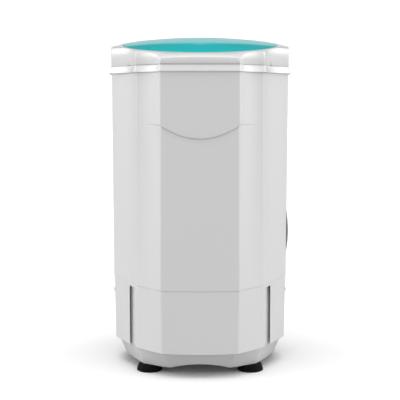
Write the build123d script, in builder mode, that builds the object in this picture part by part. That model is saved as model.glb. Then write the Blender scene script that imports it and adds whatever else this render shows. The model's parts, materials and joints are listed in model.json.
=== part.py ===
from build123d import *
import math
import os

# Top load spin washing machine: a slim free-standing cabinet with a hinged see-through lid,
# a fixed water tub, and a perforated basket driven by a motor that stands on three springs.
# Millimetres, +Z up, front towards -Y, origin on the floor under the middle of the cabinet.

# ---- Driving dimensions -------------------------------------------------------------------
# Plan corners are (x, y) in the front right quarter, from the front panel round to the side.
# Plan bulges are the rise of each arc outward: front panel, front flute, side flute, side.
TOP_CORNERS = ((77, 177), (126, 118), (178.6, 25))
TOP_BULGES = (4, -11, -7, 1)
SEAM_CORNERS = ((78.5, 170), (129, 121), (177, 27))
SEAM_BULGES = (5, -1, -1, 1)
HEM_CORNERS = ((76, 166), (126.5, 119), (174, 27))
HEM_BULGES = (8, 1, 1, 1)
CAP_CORNERS = ((78, 180.5), (127.2, 120), (179.6, 25))
WALL = 3.0

FOOT_HEIGHT = 14.0
HEM_Z = 50.0
SEAM_Z = 180.0
CABINET_TOP_Z = 640.0
COLLAR_TILT = 0.138
COLLAR_LOW_Z = 595.0
COLLAR_HIGH_Z = 610.0
COLLAR_FLARE = 4.4

APRON_STEP = 2.5
APRON_EDGE_Z = 510.0
APRON_DIP_Z = 484.0
APRON_HALF_WIDTH = 79.0

DECK_INNER_R = 157.5
DECK_Z = 655.0
DECK_SLOPE = 0.23
DECK_THICKNESS = 5.0
SEAT_Z = 647.0
SEAT_THICKNESS = 3.0
THROAT_R = 118.0

LID_R = 156.0
LID_RIM_Z = 654.6
LID_APEX_Z = 666.0
LID_FLOOR_Z = 648.0
LID_THICKNESS = 2.5
HINGE_X = 45.0
HINGE_Y = 166.0
HINGE_Z = 648.5
HINGE_PIN_R = 2.5
HINGE_PIN_LENGTH = 28.0
HINGE_BARREL_R = 4.5
HINGE_BARREL_WIDTH = 18.0
HINGE_LUG_GAP = 22.0
HINGE_LUG_THICKNESS = 3.0
RUNNING_CLEARANCE = 0.05

TUB_R = 146.0
TUB_BOTTOM_Z = 195.0
TUB_TOP_Z = 600.0
TUB_WALL = 3.0

BASKET_R = 132.0
BASKET_WALL = 1.5
BASKET_BOTTOM_Z = 218.0
BASKET_TOP_Z = 590.0
HOLE_ROWS = 8
HOLES_PER_ROW = 16
HOLE_R = 3.5

FLOOR_Z = 40.0
FLOOR_THICKNESS = 4.0
PLINTH_BOTTOM_CORNERS = ((60, 138.6), (116.5, 103), (151, 24))
PLINTH_TOP_CORNERS = ((72.5, 160), (122.5, 114.5), (167, 26))
PLINTH_BULGES = (7, 1, 1, 1)
SLEEVE_TOP_Z = 172.0

FOOT_X = 103.0
FOOT_Y = 100.0
FOOT_TOP_R = 22.5
FOOT_BOTTOM_R = 26.0

SPRING_CIRCLE_R = 95.0
SPRING_R = 13.0
SPRING_WIRE_R = 1.6
SPRING_TURNS = 5
SPRING_LOW_Z = 48.0
SPRING_HIGH_Z = 86.0
SPRING_ANGLES = (90, 210, 330)

PLATE_Z = 90.0
PLATE_THICKNESS = 4.0
MOTOR_R = 65.0
MOTOR_TOP_Z = 160.0
MOTOR_WALL = 2.0
MOTOR_SHAFT_R = 6.0
DRIVE_SHAFT_R = 12.0
DRUM_R = 45.0
DRUM_LOW_Z = 166.0
DRUM_HIGH_Z = 186.0

BRAKE_PIVOT = (-72.0, -40.0)
BRAKE_PIN_R = 4.0
BRAKE_LEVER_Z = 172.0
BRAKE_LEVER_THICKNESS = 6.0
BRAKE_PAD_FACE_X = -50.0

PLUNGER_X = -93.0
PLUNGER_Y = 93.0
PLUNGER_R = 3.0

DRAIN_X = 104.0
DRAIN_Y = 76.0
DRAIN_R = 12.0
DRAIN_WALL = 2.0
ELBOW_TOP_Z = 150.0
ELBOW_RUN_Z = 118.0
ELBOW_BEND_R = 14.0

SCREW_R = 2.0
SCREW_TIP_X = 154.6
SCREW_HEAD_X = 177.2
SCREW_PLACES = [(-18, 150), (18, 150)]

GLAND_X = -60.0
GLAND_Z = 100.0
GLAND_LOW_Y = 165.0
GLAND_R = 7.0

HOSE_R = 11.0
HOSE_ROUTE = [
    (163.0, 86.0, 150.0),
    (167.0, 87.5, 182.0),
    (174.3, 89.3, 214.0),
    (177.3, 90.0, 249.0),
    (174.8, 89.5, 285.0),
    (169.0, 88.0, 325.0),
    (163.0, 86.0, 368.0),
    (160.0, 85.0, 413.0),
    (160.4, 85.6, 458.0),
    (160.0, 85.0, 503.0),
]

SLOT_X = 141.0
SLOT_WIDTH = 9.6
SLOT_TOP_Z = 174.0
ARCH_HALF_WIDTH = 60.0
ARCH_RISE = 11.0
BOSS_R = 9.5
BOSS_BORE_R = 4.0
FLOOR_GAP = 0.12
DECK_REACH = 205.0
RIB_R = TUB_R + TUB_WALL
GASKET_HEIGHT = 3.0
BAY_FLOOR_Z = 640.0
BAY_HALF_WIDTH = 62.0
BAY_FRONT_Y = 138.0
BAY_BACK_Y = 174.0
BAY_WALL = 3.0
WINDOW_X = 141.3
WINDOW_Y = 81.0
WINDOW_WIDTH = 9.0
WINDOW_HEIGHT = 4.2
SIDE_FLUTE_NORMAL = (0.876, 0.483, 0)
TUB_COVER_R = DECK_INNER_R - 0.1
CLIP_WIDTH = 7.0
CLIP_DEPTH = 5.2
CLIP_THICKNESS = 2.5
LID_SKIRT = 2.5
GRIP_LENGTH = 66.0
GRIP_WIDTH = 6.0
GRIP_HEIGHT = 1.4
GRIP_Y = -57.0
TAB_SIZE = 12.0
RIM_ROUND = 1.5
LID_GASKET_R = 119.0
LID_GASKET_WIDTH = 3.5
BOOT_OUTER_R = 42.0
BOOT_CLAMP_R = 54.0
TUB_DISH = 6.0
BOOT_BORE_R = DRIVE_SHAFT_R + 0.4
NOZZLE_LENGTH = 24.0
CLIP_RING_HEIGHT = 12.0
SEAT_R = 20.0
CAP_JOINT_Z = 146.0
BEARING_R = 16.0
BEARING_HEIGHT = 9.0
BRAKE_EAR_R = 11.0
STATOR_LOW_Z = 108.0
STATOR_HIGH_Z = 138.0
STATOR_BORE_R = 38.0
SHAFT_LOW_Z = 97.0
HUB_FLANGE_R = 48.0
HUB_LOW_Z = 212.0
HOLE_LOW_Z = 245.0
HOLE_HIGH_Z = 545.0
RING_HEIGHT = 30.0
LEVER_HALF_WIDTH = 6.0
LEVER_END_Y = 45.0
LEVER_BOSS_R = 9.0
CABLE_R = 2.5
CABLE_ROUTE = [
    (-88.0, 50.0, 175.0),
    (-105.0, 58.0, 175.0),
    (-118.0, 72.0, 178.0),
    (-125.0, 90.0, 188.0),
    (-126.5, 103.0, 208.0),
    (-125.0, 108.0, 240.0),
    (-123.5, 109.0, 300.0),
    (-122.0, 108.5, 400.0),
    (-121.0, 108.0, 500.0),
    (-121.5, 107.0, 600.0),
]
CABLE_TURN = 138.5
SWITCH_HEIGHT = 20.0
CAPACITOR_X = -108.0
CAPACITOR_Y = 62.0
CAPACITOR_R = 16.0
CAPACITOR_HEIGHT = 50.0

ELBOW_HOLE_REACH = 60.0
elbow_hole_plane = Plane(
    origin=(DRAIN_X + 20, DRAIN_Y + 3, ELBOW_RUN_Z),
    z_dir=(HOSE_ROUTE[0][0] - DRAIN_X, HOSE_ROUTE[0][1] - DRAIN_Y, 0),
)

os.makedirs("parts", exist_ok=True)


# ---- Shared shapes ------------------------------------------------------------------------
def save(piece, name):
    """Label a finished piece and write its STEP file."""
    piece.part.label = name
    export_step(piece.part, f"parts/{name}.step")


def plan_face(plane, corners, bulges, grow=0.0):
    """The twelve-arc cabinet plan on a plane, scaled so that the side moves out by grow."""
    scale = 1 + grow / corners[2][0]
    quarter = [(x * scale, y * scale) for x, y in corners]
    ring = [(x, -y) for x, y in quarter]
    ring += [(x, y) for x, y in reversed(quarter)]
    ring += [(-x, y) for x, y in quarter]
    ring += [(-x, -y) for x, y in reversed(quarter)]
    front, front_flute, side_flute, side = bulges
    rises = [front_flute, side_flute, side, side_flute, front_flute, front] * 2
    with BuildSketch(plane) as sketch:
        with BuildLine():
            for start, end, rise in zip(ring, ring[1:] + ring[:1], rises):
                run_x = end[0] - start[0]
                run_y = end[1] - start[1]
                length = math.hypot(run_x, run_y)
                middle_x = (start[0] + end[0]) / 2 + rise * run_y / length
                middle_y = (start[1] + end[1]) / 2 - rise * run_x / length
                ThreePointArc(start, (middle_x, middle_y), end)
        make_face()
    return sketch.sketch


def level(height):
    """A horizontal plane at a height."""
    return Plane.XY.offset(height)


def collar_plane(height):
    """A plane that rises towards the front and crosses the middle at a height."""
    return Plane(origin=(0, 0, height), x_dir=(1, 0, 0), z_dir=(0, COLLAR_TILT, 1))


def radial_plane():
    """The plane of revolved profiles: x is the radius and y is the height."""
    return Plane.XZ


def tube(inner_r, outer_r, low, high):
    """A plain round sleeve."""
    with BuildPart(level(low)) as sleeve:
        Cylinder(outer_r, high - low, align=(Align.CENTER, Align.CENTER, Align.MIN))
        Cylinder(inner_r, high - low, align=(Align.CENTER, Align.CENTER, Align.MIN), mode=Mode.SUBTRACT)
    return sleeve


def turned(points):
    """A solid turned about the vertical axis from (radius, height) points."""
    with BuildPart() as solid:
        with BuildSketch(radial_plane()):
            with BuildLine():
                Polyline(*points, close=True)
            make_face()
        revolve(axis=Axis.Z)
    return solid


def cabinet_outer(grow=0.0, low=SEAM_Z, high=CABINET_TOP_Z):
    """The drafted cabinet body between two heights, with flutes that deepen upward."""
    share = (low - SEAM_Z) / (CABINET_TOP_Z - SEAM_Z)
    corners = [
        (a[0] + (b[0] - a[0]) * share, a[1] + (b[1] - a[1]) * share)
        for a, b in zip(SEAM_CORNERS, TOP_CORNERS)
    ]
    bulges = [a + (b - a) * share for a, b in zip(SEAM_BULGES, TOP_BULGES)]
    with BuildPart() as body:
        loft([
            plan_face(level(low), corners, bulges, grow),
            plan_face(level(high), TOP_CORNERS, TOP_BULGES, grow),
        ])
    return body


# ---- Cabinet ------------------------------------------------------------------------------
# The apron is a raised front panel that fades out on the front flutes.
def apron_face(height):
    """Plan of the raised apron at a height, closed behind the cabinet wall."""
    share = (height - SEAM_Z) / (CABINET_TOP_Z - SEAM_Z)
    near_x = SEAM_CORNERS[0][0] + (TOP_CORNERS[0][0] - SEAM_CORNERS[0][0]) * share
    near_y = SEAM_CORNERS[0][1] + (TOP_CORNERS[0][1] - SEAM_CORNERS[0][1]) * share + APRON_STEP
    far_x = SEAM_CORNERS[1][0] + (TOP_CORNERS[1][0] - SEAM_CORNERS[1][0]) * share - 1.5
    far_y = SEAM_CORNERS[1][1] + (TOP_CORNERS[1][1] - SEAM_CORNERS[1][1]) * share + 0.5
    flute = SEAM_BULGES[1] + (TOP_BULGES[1] - SEAM_BULGES[1]) * share + 1.2
    front = SEAM_BULGES[0] + (TOP_BULGES[0] - SEAM_BULGES[0]) * share
    length = math.hypot(far_x - near_x, far_y - near_y)
    middle_x = (near_x + far_x) / 2 + flute * (near_y - far_y) / length
    middle_y = (near_y + far_y) / 2 + flute * (far_x - near_x) / length
    with BuildSketch(level(height)) as sketch:
        with BuildLine():
            ThreePointArc((-near_x, -near_y), (0, -near_y - front), (near_x, -near_y))
            ThreePointArc((near_x, -near_y), (middle_x, -middle_y), (far_x, -far_y))
            Line((far_x, -far_y), (-far_x, -far_y))
            ThreePointArc((-far_x, -far_y), (-middle_x, -middle_y), (-near_x, -near_y))
        make_face()
    return sketch.sketch


cabinet_solid = cabinet_outer()
cabinet_cavity = cabinet_outer(grow=-WALL)
with BuildPart() as apron_solid:
    loft([apron_face(APRON_DIP_Z - 40), apron_face(CABINET_TOP_Z)])
    with BuildSketch(Plane.XZ.offset(100)):
        with BuildLine():
            Polyline((APRON_HALF_WIDTH, APRON_EDGE_Z), (160, APRON_EDGE_Z), (160, 400), (-160, 400),
                     (-160, APRON_EDGE_Z), (-APRON_HALF_WIDTH, APRON_EDGE_Z))
            ThreePointArc((-APRON_HALF_WIDTH, APRON_EDGE_Z), (0, APRON_DIP_Z),
                          (APRON_HALF_WIDTH, APRON_EDGE_Z))
        make_face()
    extrude(amount=120, mode=Mode.SUBTRACT)

with BuildPart() as cabinet_envelope:
    add(cabinet_solid.part)
    add(apron_solid.part)

with BuildPart() as cabinet_shell:
    add(cabinet_envelope.part)
    add(cabinet_cavity.part, mode=Mode.SUBTRACT)
    split(bisect_by=collar_plane(COLLAR_HIGH_Z - 0.4), keep=Keep.BOTTOM)
save(cabinet_shell, "cabinet_shell")

# The collar is a flared band over the joint between the cabinet and the top cover.
with BuildPart() as collar_ring:
    loft([
        plan_face(collar_plane(COLLAR_LOW_Z), CAP_CORNERS, TOP_BULGES, COLLAR_FLARE),
        plan_face(collar_plane(COLLAR_HIGH_Z - 0.3), CAP_CORNERS, TOP_BULGES),
    ])
    add(cabinet_envelope.part, mode=Mode.SUBTRACT)
    add(cabinet_cavity.part, mode=Mode.SUBTRACT)
save(collar_ring, "collar_ring")


# ---- Lower body ---------------------------------------------------------------------------
with BuildPart() as skirt:
    loft([
        plan_face(level(HEM_Z), HEM_CORNERS, HEM_BULGES),
        plan_face(level(SEAM_Z), SEAM_CORNERS, SEAM_BULGES, -0.8),
    ])
    loft([
        plan_face(level(HEM_Z), HEM_CORNERS, HEM_BULGES, -WALL),
        plan_face(level(SEAM_Z), SEAM_CORNERS, SEAM_BULGES, -0.8 - WALL),
    ], mode=Mode.SUBTRACT)
    with BuildSketch(level(HEM_Z)):
        with GridLocations(2 * SLOT_X, 200, 2, 2):
            Rectangle(SLOT_WIDTH, 100)
    extrude(amount=SLOT_TOP_Z - HEM_Z, mode=Mode.SUBTRACT)
    with BuildSketch(elbow_hole_plane):
        Circle(DRAIN_R + 0.5)
    extrude(amount=ELBOW_HOLE_REACH, mode=Mode.SUBTRACT)
    with BuildSketch(Plane(origin=(GLAND_X, GLAND_LOW_Y, GLAND_Z), z_dir=(0, 1, 0))):
        Circle(GLAND_R + 0.1)
    extrude(amount=20, mode=Mode.SUBTRACT)
    with BuildSketch(Plane.YZ.offset(-SCREW_HEAD_X)):
        with Locations(*SCREW_PLACES):
            Circle(SCREW_R)
    extrude(amount=2 * SCREW_HEAD_X, mode=Mode.SUBTRACT)
save(skirt, "skirt")

# The plinth stands inside the skirt: a tapered base, an upright sleeve and a floor.


def plinth_face(height, grow=0.0):
    """Plinth plan at a height: it widens up to the hem and is upright above it."""
    share = min(1, (height - FOOT_HEIGHT) / (HEM_Z - FOOT_HEIGHT))
    corners = [
        (a[0] + (b[0] - a[0]) * share, a[1] + (b[1] - a[1]) * share)
        for a, b in zip(PLINTH_BOTTOM_CORNERS, PLINTH_TOP_CORNERS)
    ]
    return plan_face(level(height), corners, PLINTH_BULGES, grow)


with BuildPart() as plinth:
    loft([plinth_face(FOOT_HEIGHT), plinth_face(HEM_Z)])
    extrude(plinth_face(HEM_Z), amount=SLEEVE_TOP_Z - HEM_Z)
    loft([plinth_face(FOOT_HEIGHT, -WALL), plinth_face(HEM_Z, -WALL)], mode=Mode.SUBTRACT)
    extrude(plinth_face(HEM_Z, -WALL), amount=SLEEVE_TOP_Z - HEM_Z, mode=Mode.SUBTRACT)
    with BuildSketch(Plane.XZ.offset(-200)):
        with BuildLine():
            ThreePointArc((-ARCH_HALF_WIDTH, FOOT_HEIGHT - 0.1), (0, FOOT_HEIGHT + ARCH_RISE),
                          (ARCH_HALF_WIDTH, FOOT_HEIGHT - 0.1))
            Line((ARCH_HALF_WIDTH, FOOT_HEIGHT - 0.1), (-ARCH_HALF_WIDTH, FOOT_HEIGHT - 0.1))
        make_face()
    extrude(amount=400, mode=Mode.SUBTRACT)
    with BuildSketch(level(FOOT_HEIGHT)):
        with GridLocations(2 * FOOT_X, 2 * FOOT_Y, 2, 2):
            Circle(BOSS_R)
    extrude(amount=FLOOR_Z - FOOT_HEIGHT)
    with BuildSketch(level(FOOT_HEIGHT)):
        with GridLocations(2 * FOOT_X, 2 * FOOT_Y, 2, 2):
            Circle(BOSS_BORE_R)
    extrude(amount=FLOOR_Z - FOOT_HEIGHT, mode=Mode.SUBTRACT)
    with BuildSketch(elbow_hole_plane):
        Circle(DRAIN_R + 0.5)
    extrude(amount=ELBOW_HOLE_REACH, mode=Mode.SUBTRACT)
    with BuildSketch(Plane.YZ.offset(-SCREW_HEAD_X)):
        with Locations(*SCREW_PLACES):
            Circle(SCREW_R)
    extrude(amount=2 * SCREW_HEAD_X, mode=Mode.SUBTRACT)
save(plinth, "plinth")


# The base plate drops onto the plinth's four bosses and carries the springs.
with BuildPart() as base_plate:
    loft([
        plinth_face(FLOOR_Z, -WALL - FLOOR_GAP),
        plinth_face(FLOOR_Z + FLOOR_THICKNESS, -WALL - FLOOR_GAP),
    ])
    with BuildSketch(level(FLOOR_Z)):
        with GridLocations(2 * FOOT_X, 2 * FOOT_Y, 2, 2):
            Circle(BOSS_BORE_R)
    extrude(amount=FLOOR_THICKNESS, mode=Mode.SUBTRACT)
save(base_plate, "base_plate")

# Four rubber feet, each with a screw up into the plinth.
foot_places = {
    "front_left": (-FOOT_X, -FOOT_Y),
    "front_right": (FOOT_X, -FOOT_Y),
    "rear_left": (-FOOT_X, FOOT_Y),
    "rear_right": (FOOT_X, FOOT_Y),
}
for place, (foot_x, foot_y) in foot_places.items():
    with BuildPart() as foot:
        with BuildSketch(Plane.XZ):
            with BuildLine():
                Polyline((0, 4), (9, 4), (9, 0), (FOOT_BOTTOM_R, 0), (FOOT_BOTTOM_R, 3.5),
                         (FOOT_TOP_R, FOOT_HEIGHT), (4.1, FOOT_HEIGHT), (4.1, 7), (0, 7), close=True)
            make_face()
        revolve(axis=Axis.Z)
        Cylinder(4.1, 30, mode=Mode.SUBTRACT)
        fillet(foot.edges().filter_by(GeomType.CIRCLE).group_by(Axis.Z)[-1].sort_by(SortBy.RADIUS)[-1], 1.5)
    foot.part.locate(Location((foot_x, foot_y, 0)))
    save(foot, f"foot_{place}")

with BuildPart() as foot_screws:
    with GridLocations(2 * FOOT_X, 2 * FOOT_Y, 2, 2):
        with Locations((0, 0, 7.0)):
            Cylinder(3.9, 36, align=(Align.CENTER, Align.CENTER, Align.MIN))
        with Locations((0, 0, 1.0)):
            Cylinder(8.0, 3, align=(Align.CENTER, Align.CENTER, Align.MIN))
        with Locations((0, 0, 2.0)):
            Cylinder(3.9, 6, align=(Align.CENTER, Align.CENTER, Align.MIN))
save(foot_screws, "foot_screws")


# ---- Top cover, seals and fasteners -------------------------------------------------------
def deck_height(radius):
    """Height of the sloping deck at a radius."""
    return DECK_Z - DECK_SLOPE * (radius - DECK_INNER_R)


# Snap windows in the cover's lower edge, one on each side flute.
window_planes = []
for side in (-1, 1):
    for end in (-1, 1):
        window_planes.append(Plane(
            origin=(side * WINDOW_X, end * WINDOW_Y, COLLAR_HIGH_Z - COLLAR_TILT * end * WINDOW_Y - 0.4),
            x_dir=(side * end * SIDE_FLUTE_NORMAL[1], -SIDE_FLUTE_NORMAL[0], 0),
            z_dir=(0, 0, 1),
        ))

cover_section = [
    (DECK_INNER_R, SEAT_Z - SEAT_THICKNESS),
    (DECK_INNER_R, DECK_Z),
    (DECK_REACH, deck_height(DECK_REACH)),
    (DECK_REACH, deck_height(DECK_REACH) - DECK_THICKNESS),
    (DECK_INNER_R + WALL, deck_height(DECK_INNER_R + WALL) - DECK_THICKNESS),
    (DECK_INNER_R + WALL, SEAT_Z - SEAT_THICKNESS),
]
with BuildPart() as top_cover:
    with BuildSketch(radial_plane()):
        with BuildLine():
            Polyline(*cover_section, close=True)
        make_face()
    revolve(axis=Axis.Z)
    extrude(plan_face(level(560), CAP_CORNERS, TOP_BULGES), amount=110, mode=Mode.INTERSECT)
    cover_wall = (
        plan_face(level(560), CAP_CORNERS, TOP_BULGES)
        - plan_face(level(560), CAP_CORNERS, TOP_BULGES, -WALL)
    )
    extrude(cover_wall, amount=645 - 560)
    split(bisect_by=collar_plane(COLLAR_HIGH_Z), keep=Keep.TOP)
    with Locations((0, (BAY_FRONT_Y + BAY_BACK_Y) / 2, BAY_FLOOR_Z - BAY_WALL)):
        Box(2 * (BAY_HALF_WIDTH + BAY_WALL), BAY_BACK_Y - BAY_FRONT_Y + 2 * BAY_WALL,
            SEAT_Z - BAY_FLOOR_Z + BAY_WALL, align=(Align.CENTER, Align.CENTER, Align.MIN))
    with Locations((0, (BAY_FRONT_Y + BAY_BACK_Y) / 2, BAY_FLOOR_Z)):
        Box(2 * BAY_HALF_WIDTH, BAY_BACK_Y - BAY_FRONT_Y, 40,
            align=(Align.CENTER, Align.CENTER, Align.MIN), mode=Mode.SUBTRACT)
    for side in (-1, 1):
        for edge in (-1, 1):
            lug_x = side * HINGE_X + edge * (HINGE_LUG_GAP + HINGE_LUG_THICKNESS) / 2
            with BuildSketch(Plane.YZ.offset(lug_x - HINGE_LUG_THICKNESS / 2)):
                with Locations((HINGE_Y, HINGE_Z)):
                    Circle(HINGE_BARREL_R)
                with Locations((HINGE_Y, (BAY_FLOOR_Z + HINGE_Z) / 2)):
                    Rectangle(2 * HINGE_BARREL_R, HINGE_Z - BAY_FLOOR_Z)
                with Locations((HINGE_Y, HINGE_Z)):
                    Circle(HINGE_PIN_R, mode=Mode.SUBTRACT)
            extrude(amount=HINGE_LUG_THICKNESS)
    for clip_plane in window_planes:
        with BuildSketch(clip_plane):
            Rectangle(WINDOW_WIDTH, 12)
        extrude(amount=WINDOW_HEIGHT, mode=Mode.SUBTRACT)
save(top_cover, "top_cover")

# The tub cover is a separate ring: the lid's seat, the throat and the rib over the tub's rim.
tub_cover_section = [
    (THROAT_R, TUB_TOP_Z - 4),
    (THROAT_R, SEAT_Z),
    (TUB_COVER_R, SEAT_Z),
    (TUB_COVER_R, SEAT_Z - SEAT_THICKNESS),
    (RIB_R, SEAT_Z - SEAT_THICKNESS),
    (RIB_R, TUB_TOP_Z + GASKET_HEIGHT),
    (RIB_R - TUB_WALL, TUB_TOP_Z + GASKET_HEIGHT),
    (RIB_R - TUB_WALL, SEAT_Z - SEAT_THICKNESS),
    (THROAT_R + WALL, SEAT_Z - SEAT_THICKNESS),
    (THROAT_R + WALL, TUB_TOP_Z - 4),
]
with BuildPart() as tub_cover:
    with BuildSketch(radial_plane()):
        with BuildLine():
            Polyline(*tub_cover_section, close=True)
        make_face()
    revolve(axis=Axis.Z)
    with Locations((0, BAY_FRONT_Y - BAY_WALL - 0.1, BAY_FLOOR_Z - BAY_WALL - 0.1)):
        Box(2 * (BAY_HALF_WIDTH + BAY_WALL + 0.1), 60, 60,
            align=(Align.CENTER, Align.MIN, Align.MIN), mode=Mode.SUBTRACT)
    with Locations((PLUNGER_X, PLUNGER_Y, SEAT_Z)):
        Cylinder(PLUNGER_R + 1, 12, mode=Mode.SUBTRACT)
save(tub_cover, "tub_cover")

save(tube(TUB_R, RIB_R, TUB_TOP_Z, TUB_TOP_Z + GASKET_HEIGHT), "tub_gasket")

with BuildPart() as hinge_pins:
    with Locations((-HINGE_X, HINGE_Y, HINGE_Z), (HINGE_X, HINGE_Y, HINGE_Z)):
        Cylinder(HINGE_PIN_R, HINGE_PIN_LENGTH, rotation=(0, 90, 0))
save(hinge_pins, "hinge_pins")

# Snap clips stand inside the cabinet wall and hook through the windows.
with BuildPart() as cover_clips:
    for clip_plane in window_planes:
        with BuildSketch(clip_plane.offset(-12)):
            with Locations((0, -CLIP_DEPTH - CLIP_THICKNESS / 2)):
                Rectangle(CLIP_WIDTH, CLIP_THICKNESS)
        extrude(amount=24)
        with BuildSketch(clip_plane.offset(1.2)):
            with Locations((0, (-CLIP_DEPTH - 0.6) / 2)):
                Rectangle(CLIP_WIDTH, CLIP_DEPTH - 0.6)
        extrude(amount=WINDOW_HEIGHT - 1.8)
save(cover_clips, "cover_clips")


# ---- Lid ----------------------------------------------------------------------------------
lid_rise = LID_APEX_Z - LID_RIM_Z


def dome_height(radius, depth=0.0):
    """Height of the lid's shallow dome at a radius, at a depth under its outer face."""
    dome_r = (LID_R ** 2 + lid_rise ** 2) / (2 * lid_rise)
    return LID_APEX_Z - dome_r + math.sqrt((dome_r - depth) ** 2 - radius ** 2)


with BuildPart() as lid_panel:
    with BuildSketch(radial_plane()):
        with BuildLine():
            ThreePointArc((0, LID_APEX_Z), (LID_R / 2, dome_height(LID_R / 2)),
                          (LID_R - RIM_ROUND, dome_height(LID_R - RIM_ROUND)))
            ThreePointArc((LID_R - RIM_ROUND, dome_height(LID_R - RIM_ROUND)),
                          (LID_R - 0.3 * RIM_ROUND, LID_RIM_Z - 0.3 * RIM_ROUND),
                          (LID_R, LID_RIM_Z - RIM_ROUND))
            Line((LID_R, LID_RIM_Z - RIM_ROUND), (LID_R, LID_FLOOR_Z))
            Line((LID_R, LID_FLOOR_Z), (LID_R - LID_SKIRT, LID_FLOOR_Z))
            Line((LID_R - LID_SKIRT, LID_FLOOR_Z),
                 (LID_R - LID_SKIRT, dome_height(LID_R - LID_SKIRT, LID_THICKNESS)))
            ThreePointArc((LID_R - LID_SKIRT, dome_height(LID_R - LID_SKIRT, LID_THICKNESS)),
                          (LID_R / 2, dome_height(LID_R / 2, LID_THICKNESS)),
                          (0, LID_APEX_Z - LID_THICKNESS))
            Line((0, LID_APEX_Z - LID_THICKNESS), (0, LID_APEX_Z))
        make_face()
    revolve(axis=Axis.Z)
    with Locations((PLUNGER_X, PLUNGER_Y, LID_FLOOR_Z)):
        Box(TAB_SIZE, TAB_SIZE, 9.5, align=(Align.CENTER, Align.CENTER, Align.MIN))
    for side in (-1, 1):
        with BuildSketch(Plane.YZ.offset(side * HINGE_X - HINGE_BARREL_WIDTH / 2)):
            with Locations((HINGE_Y, HINGE_Z)):
                Circle(HINGE_BARREL_R)
            Polygon((140, LID_FLOOR_Z + 1.5), (HINGE_Y, HINGE_Z - 3), (HINGE_Y, HINGE_Z + 3.8),
                    (154, LID_RIM_Z - 1.5), (140, LID_RIM_Z - 0.5), align=None)
            with Locations((HINGE_Y, HINGE_Z)):
                Circle(HINGE_PIN_R + RUNNING_CLEARANCE, mode=Mode.SUBTRACT)
        extrude(amount=HINGE_BARREL_WIDTH)
save(lid_panel, "lid_panel")

# A low finger bar and a soft ring under the lid.
with BuildPart() as grip_blank:
    with BuildSketch(Plane.XY.offset(LID_APEX_Z - 6)):
        with Locations((0, GRIP_Y)):
            SlotOverall(GRIP_LENGTH, GRIP_WIDTH)
    extrude(amount=6 - (LID_APEX_Z - dome_height(GRIP_Y)) + GRIP_HEIGHT)
    add(lid_panel.part, mode=Mode.SUBTRACT)
with BuildPart() as lid_grip:
    add(grip_blank.part.solids().sort_by(Axis.Z)[-1])
save(lid_grip, "lid_grip")

lid_gasket_section = [
    (LID_GASKET_R, SEAT_Z + 0.4),
    (LID_GASKET_R + LID_GASKET_WIDTH, SEAT_Z + 0.4),
    (LID_GASKET_R + LID_GASKET_WIDTH, dome_height(LID_GASKET_R + LID_GASKET_WIDTH, LID_THICKNESS) - 0.1),
    (LID_GASKET_R, dome_height(LID_GASKET_R + LID_GASKET_WIDTH, LID_THICKNESS) - 0.1),
]
save(turned(lid_gasket_section), "lid_gasket")


# ---- Tub and drain ------------------------------------------------------------------------
tub_section = [
    (BOOT_OUTER_R, TUB_BOTTOM_Z + TUB_DISH),
    (BOOT_CLAMP_R + 4, TUB_BOTTOM_Z + TUB_DISH),
    (TUB_R - 4, TUB_BOTTOM_Z),
    (TUB_R + TUB_WALL, TUB_BOTTOM_Z + 4),
    (TUB_R + TUB_WALL, TUB_TOP_Z),
    (TUB_R, TUB_TOP_Z),
    (TUB_R, TUB_BOTTOM_Z + 6),
    (TUB_R - 5, TUB_BOTTOM_Z + TUB_WALL),
    (BOOT_CLAMP_R + 4, TUB_BOTTOM_Z + TUB_DISH + TUB_WALL),
    (BOOT_OUTER_R, TUB_BOTTOM_Z + TUB_DISH + TUB_WALL),
]
with BuildPart() as outer_tub:
    with BuildSketch(radial_plane()):
        with BuildLine():
            Polyline(*tub_section, close=True)
        make_face()
    revolve(axis=Axis.Z)
    with Locations((DRAIN_X, DRAIN_Y, TUB_BOTTOM_Z + 8)):
        Cylinder(DRAIN_R - DRAIN_WALL, 30, mode=Mode.SUBTRACT)
save(outer_tub, "outer_tub")

# The bellows seal round the drive shaft, and the ring that clamps it to the tub.
boot_top = TUB_BOTTOM_Z + TUB_DISH
boot_section = [
    (BOOT_BORE_R, boot_top + 3),
    (BOOT_BORE_R, boot_top - 9),
    (BOOT_BORE_R + 4, boot_top - 9),
    (BOOT_BORE_R + 4, boot_top - 3),
    (24, boot_top - 3),
    (28, boot_top + 3.5),
    (33, boot_top - 3),
    (BOOT_CLAMP_R, boot_top - 3),
    (BOOT_CLAMP_R, boot_top),
    (BOOT_OUTER_R, boot_top),
    (35, boot_top),
    (29.5, boot_top + 7),
    (26.5, boot_top + 7),
    (21.5, boot_top),
    (BOOT_BORE_R + 4, boot_top),
    (BOOT_BORE_R + 4, boot_top + 3),
]
save(turned(boot_section), "shaft_seal")
save(tube(BOOT_OUTER_R + 2, BOOT_CLAMP_R, boot_top - 5, boot_top - 3), "seal_clamp")

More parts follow.
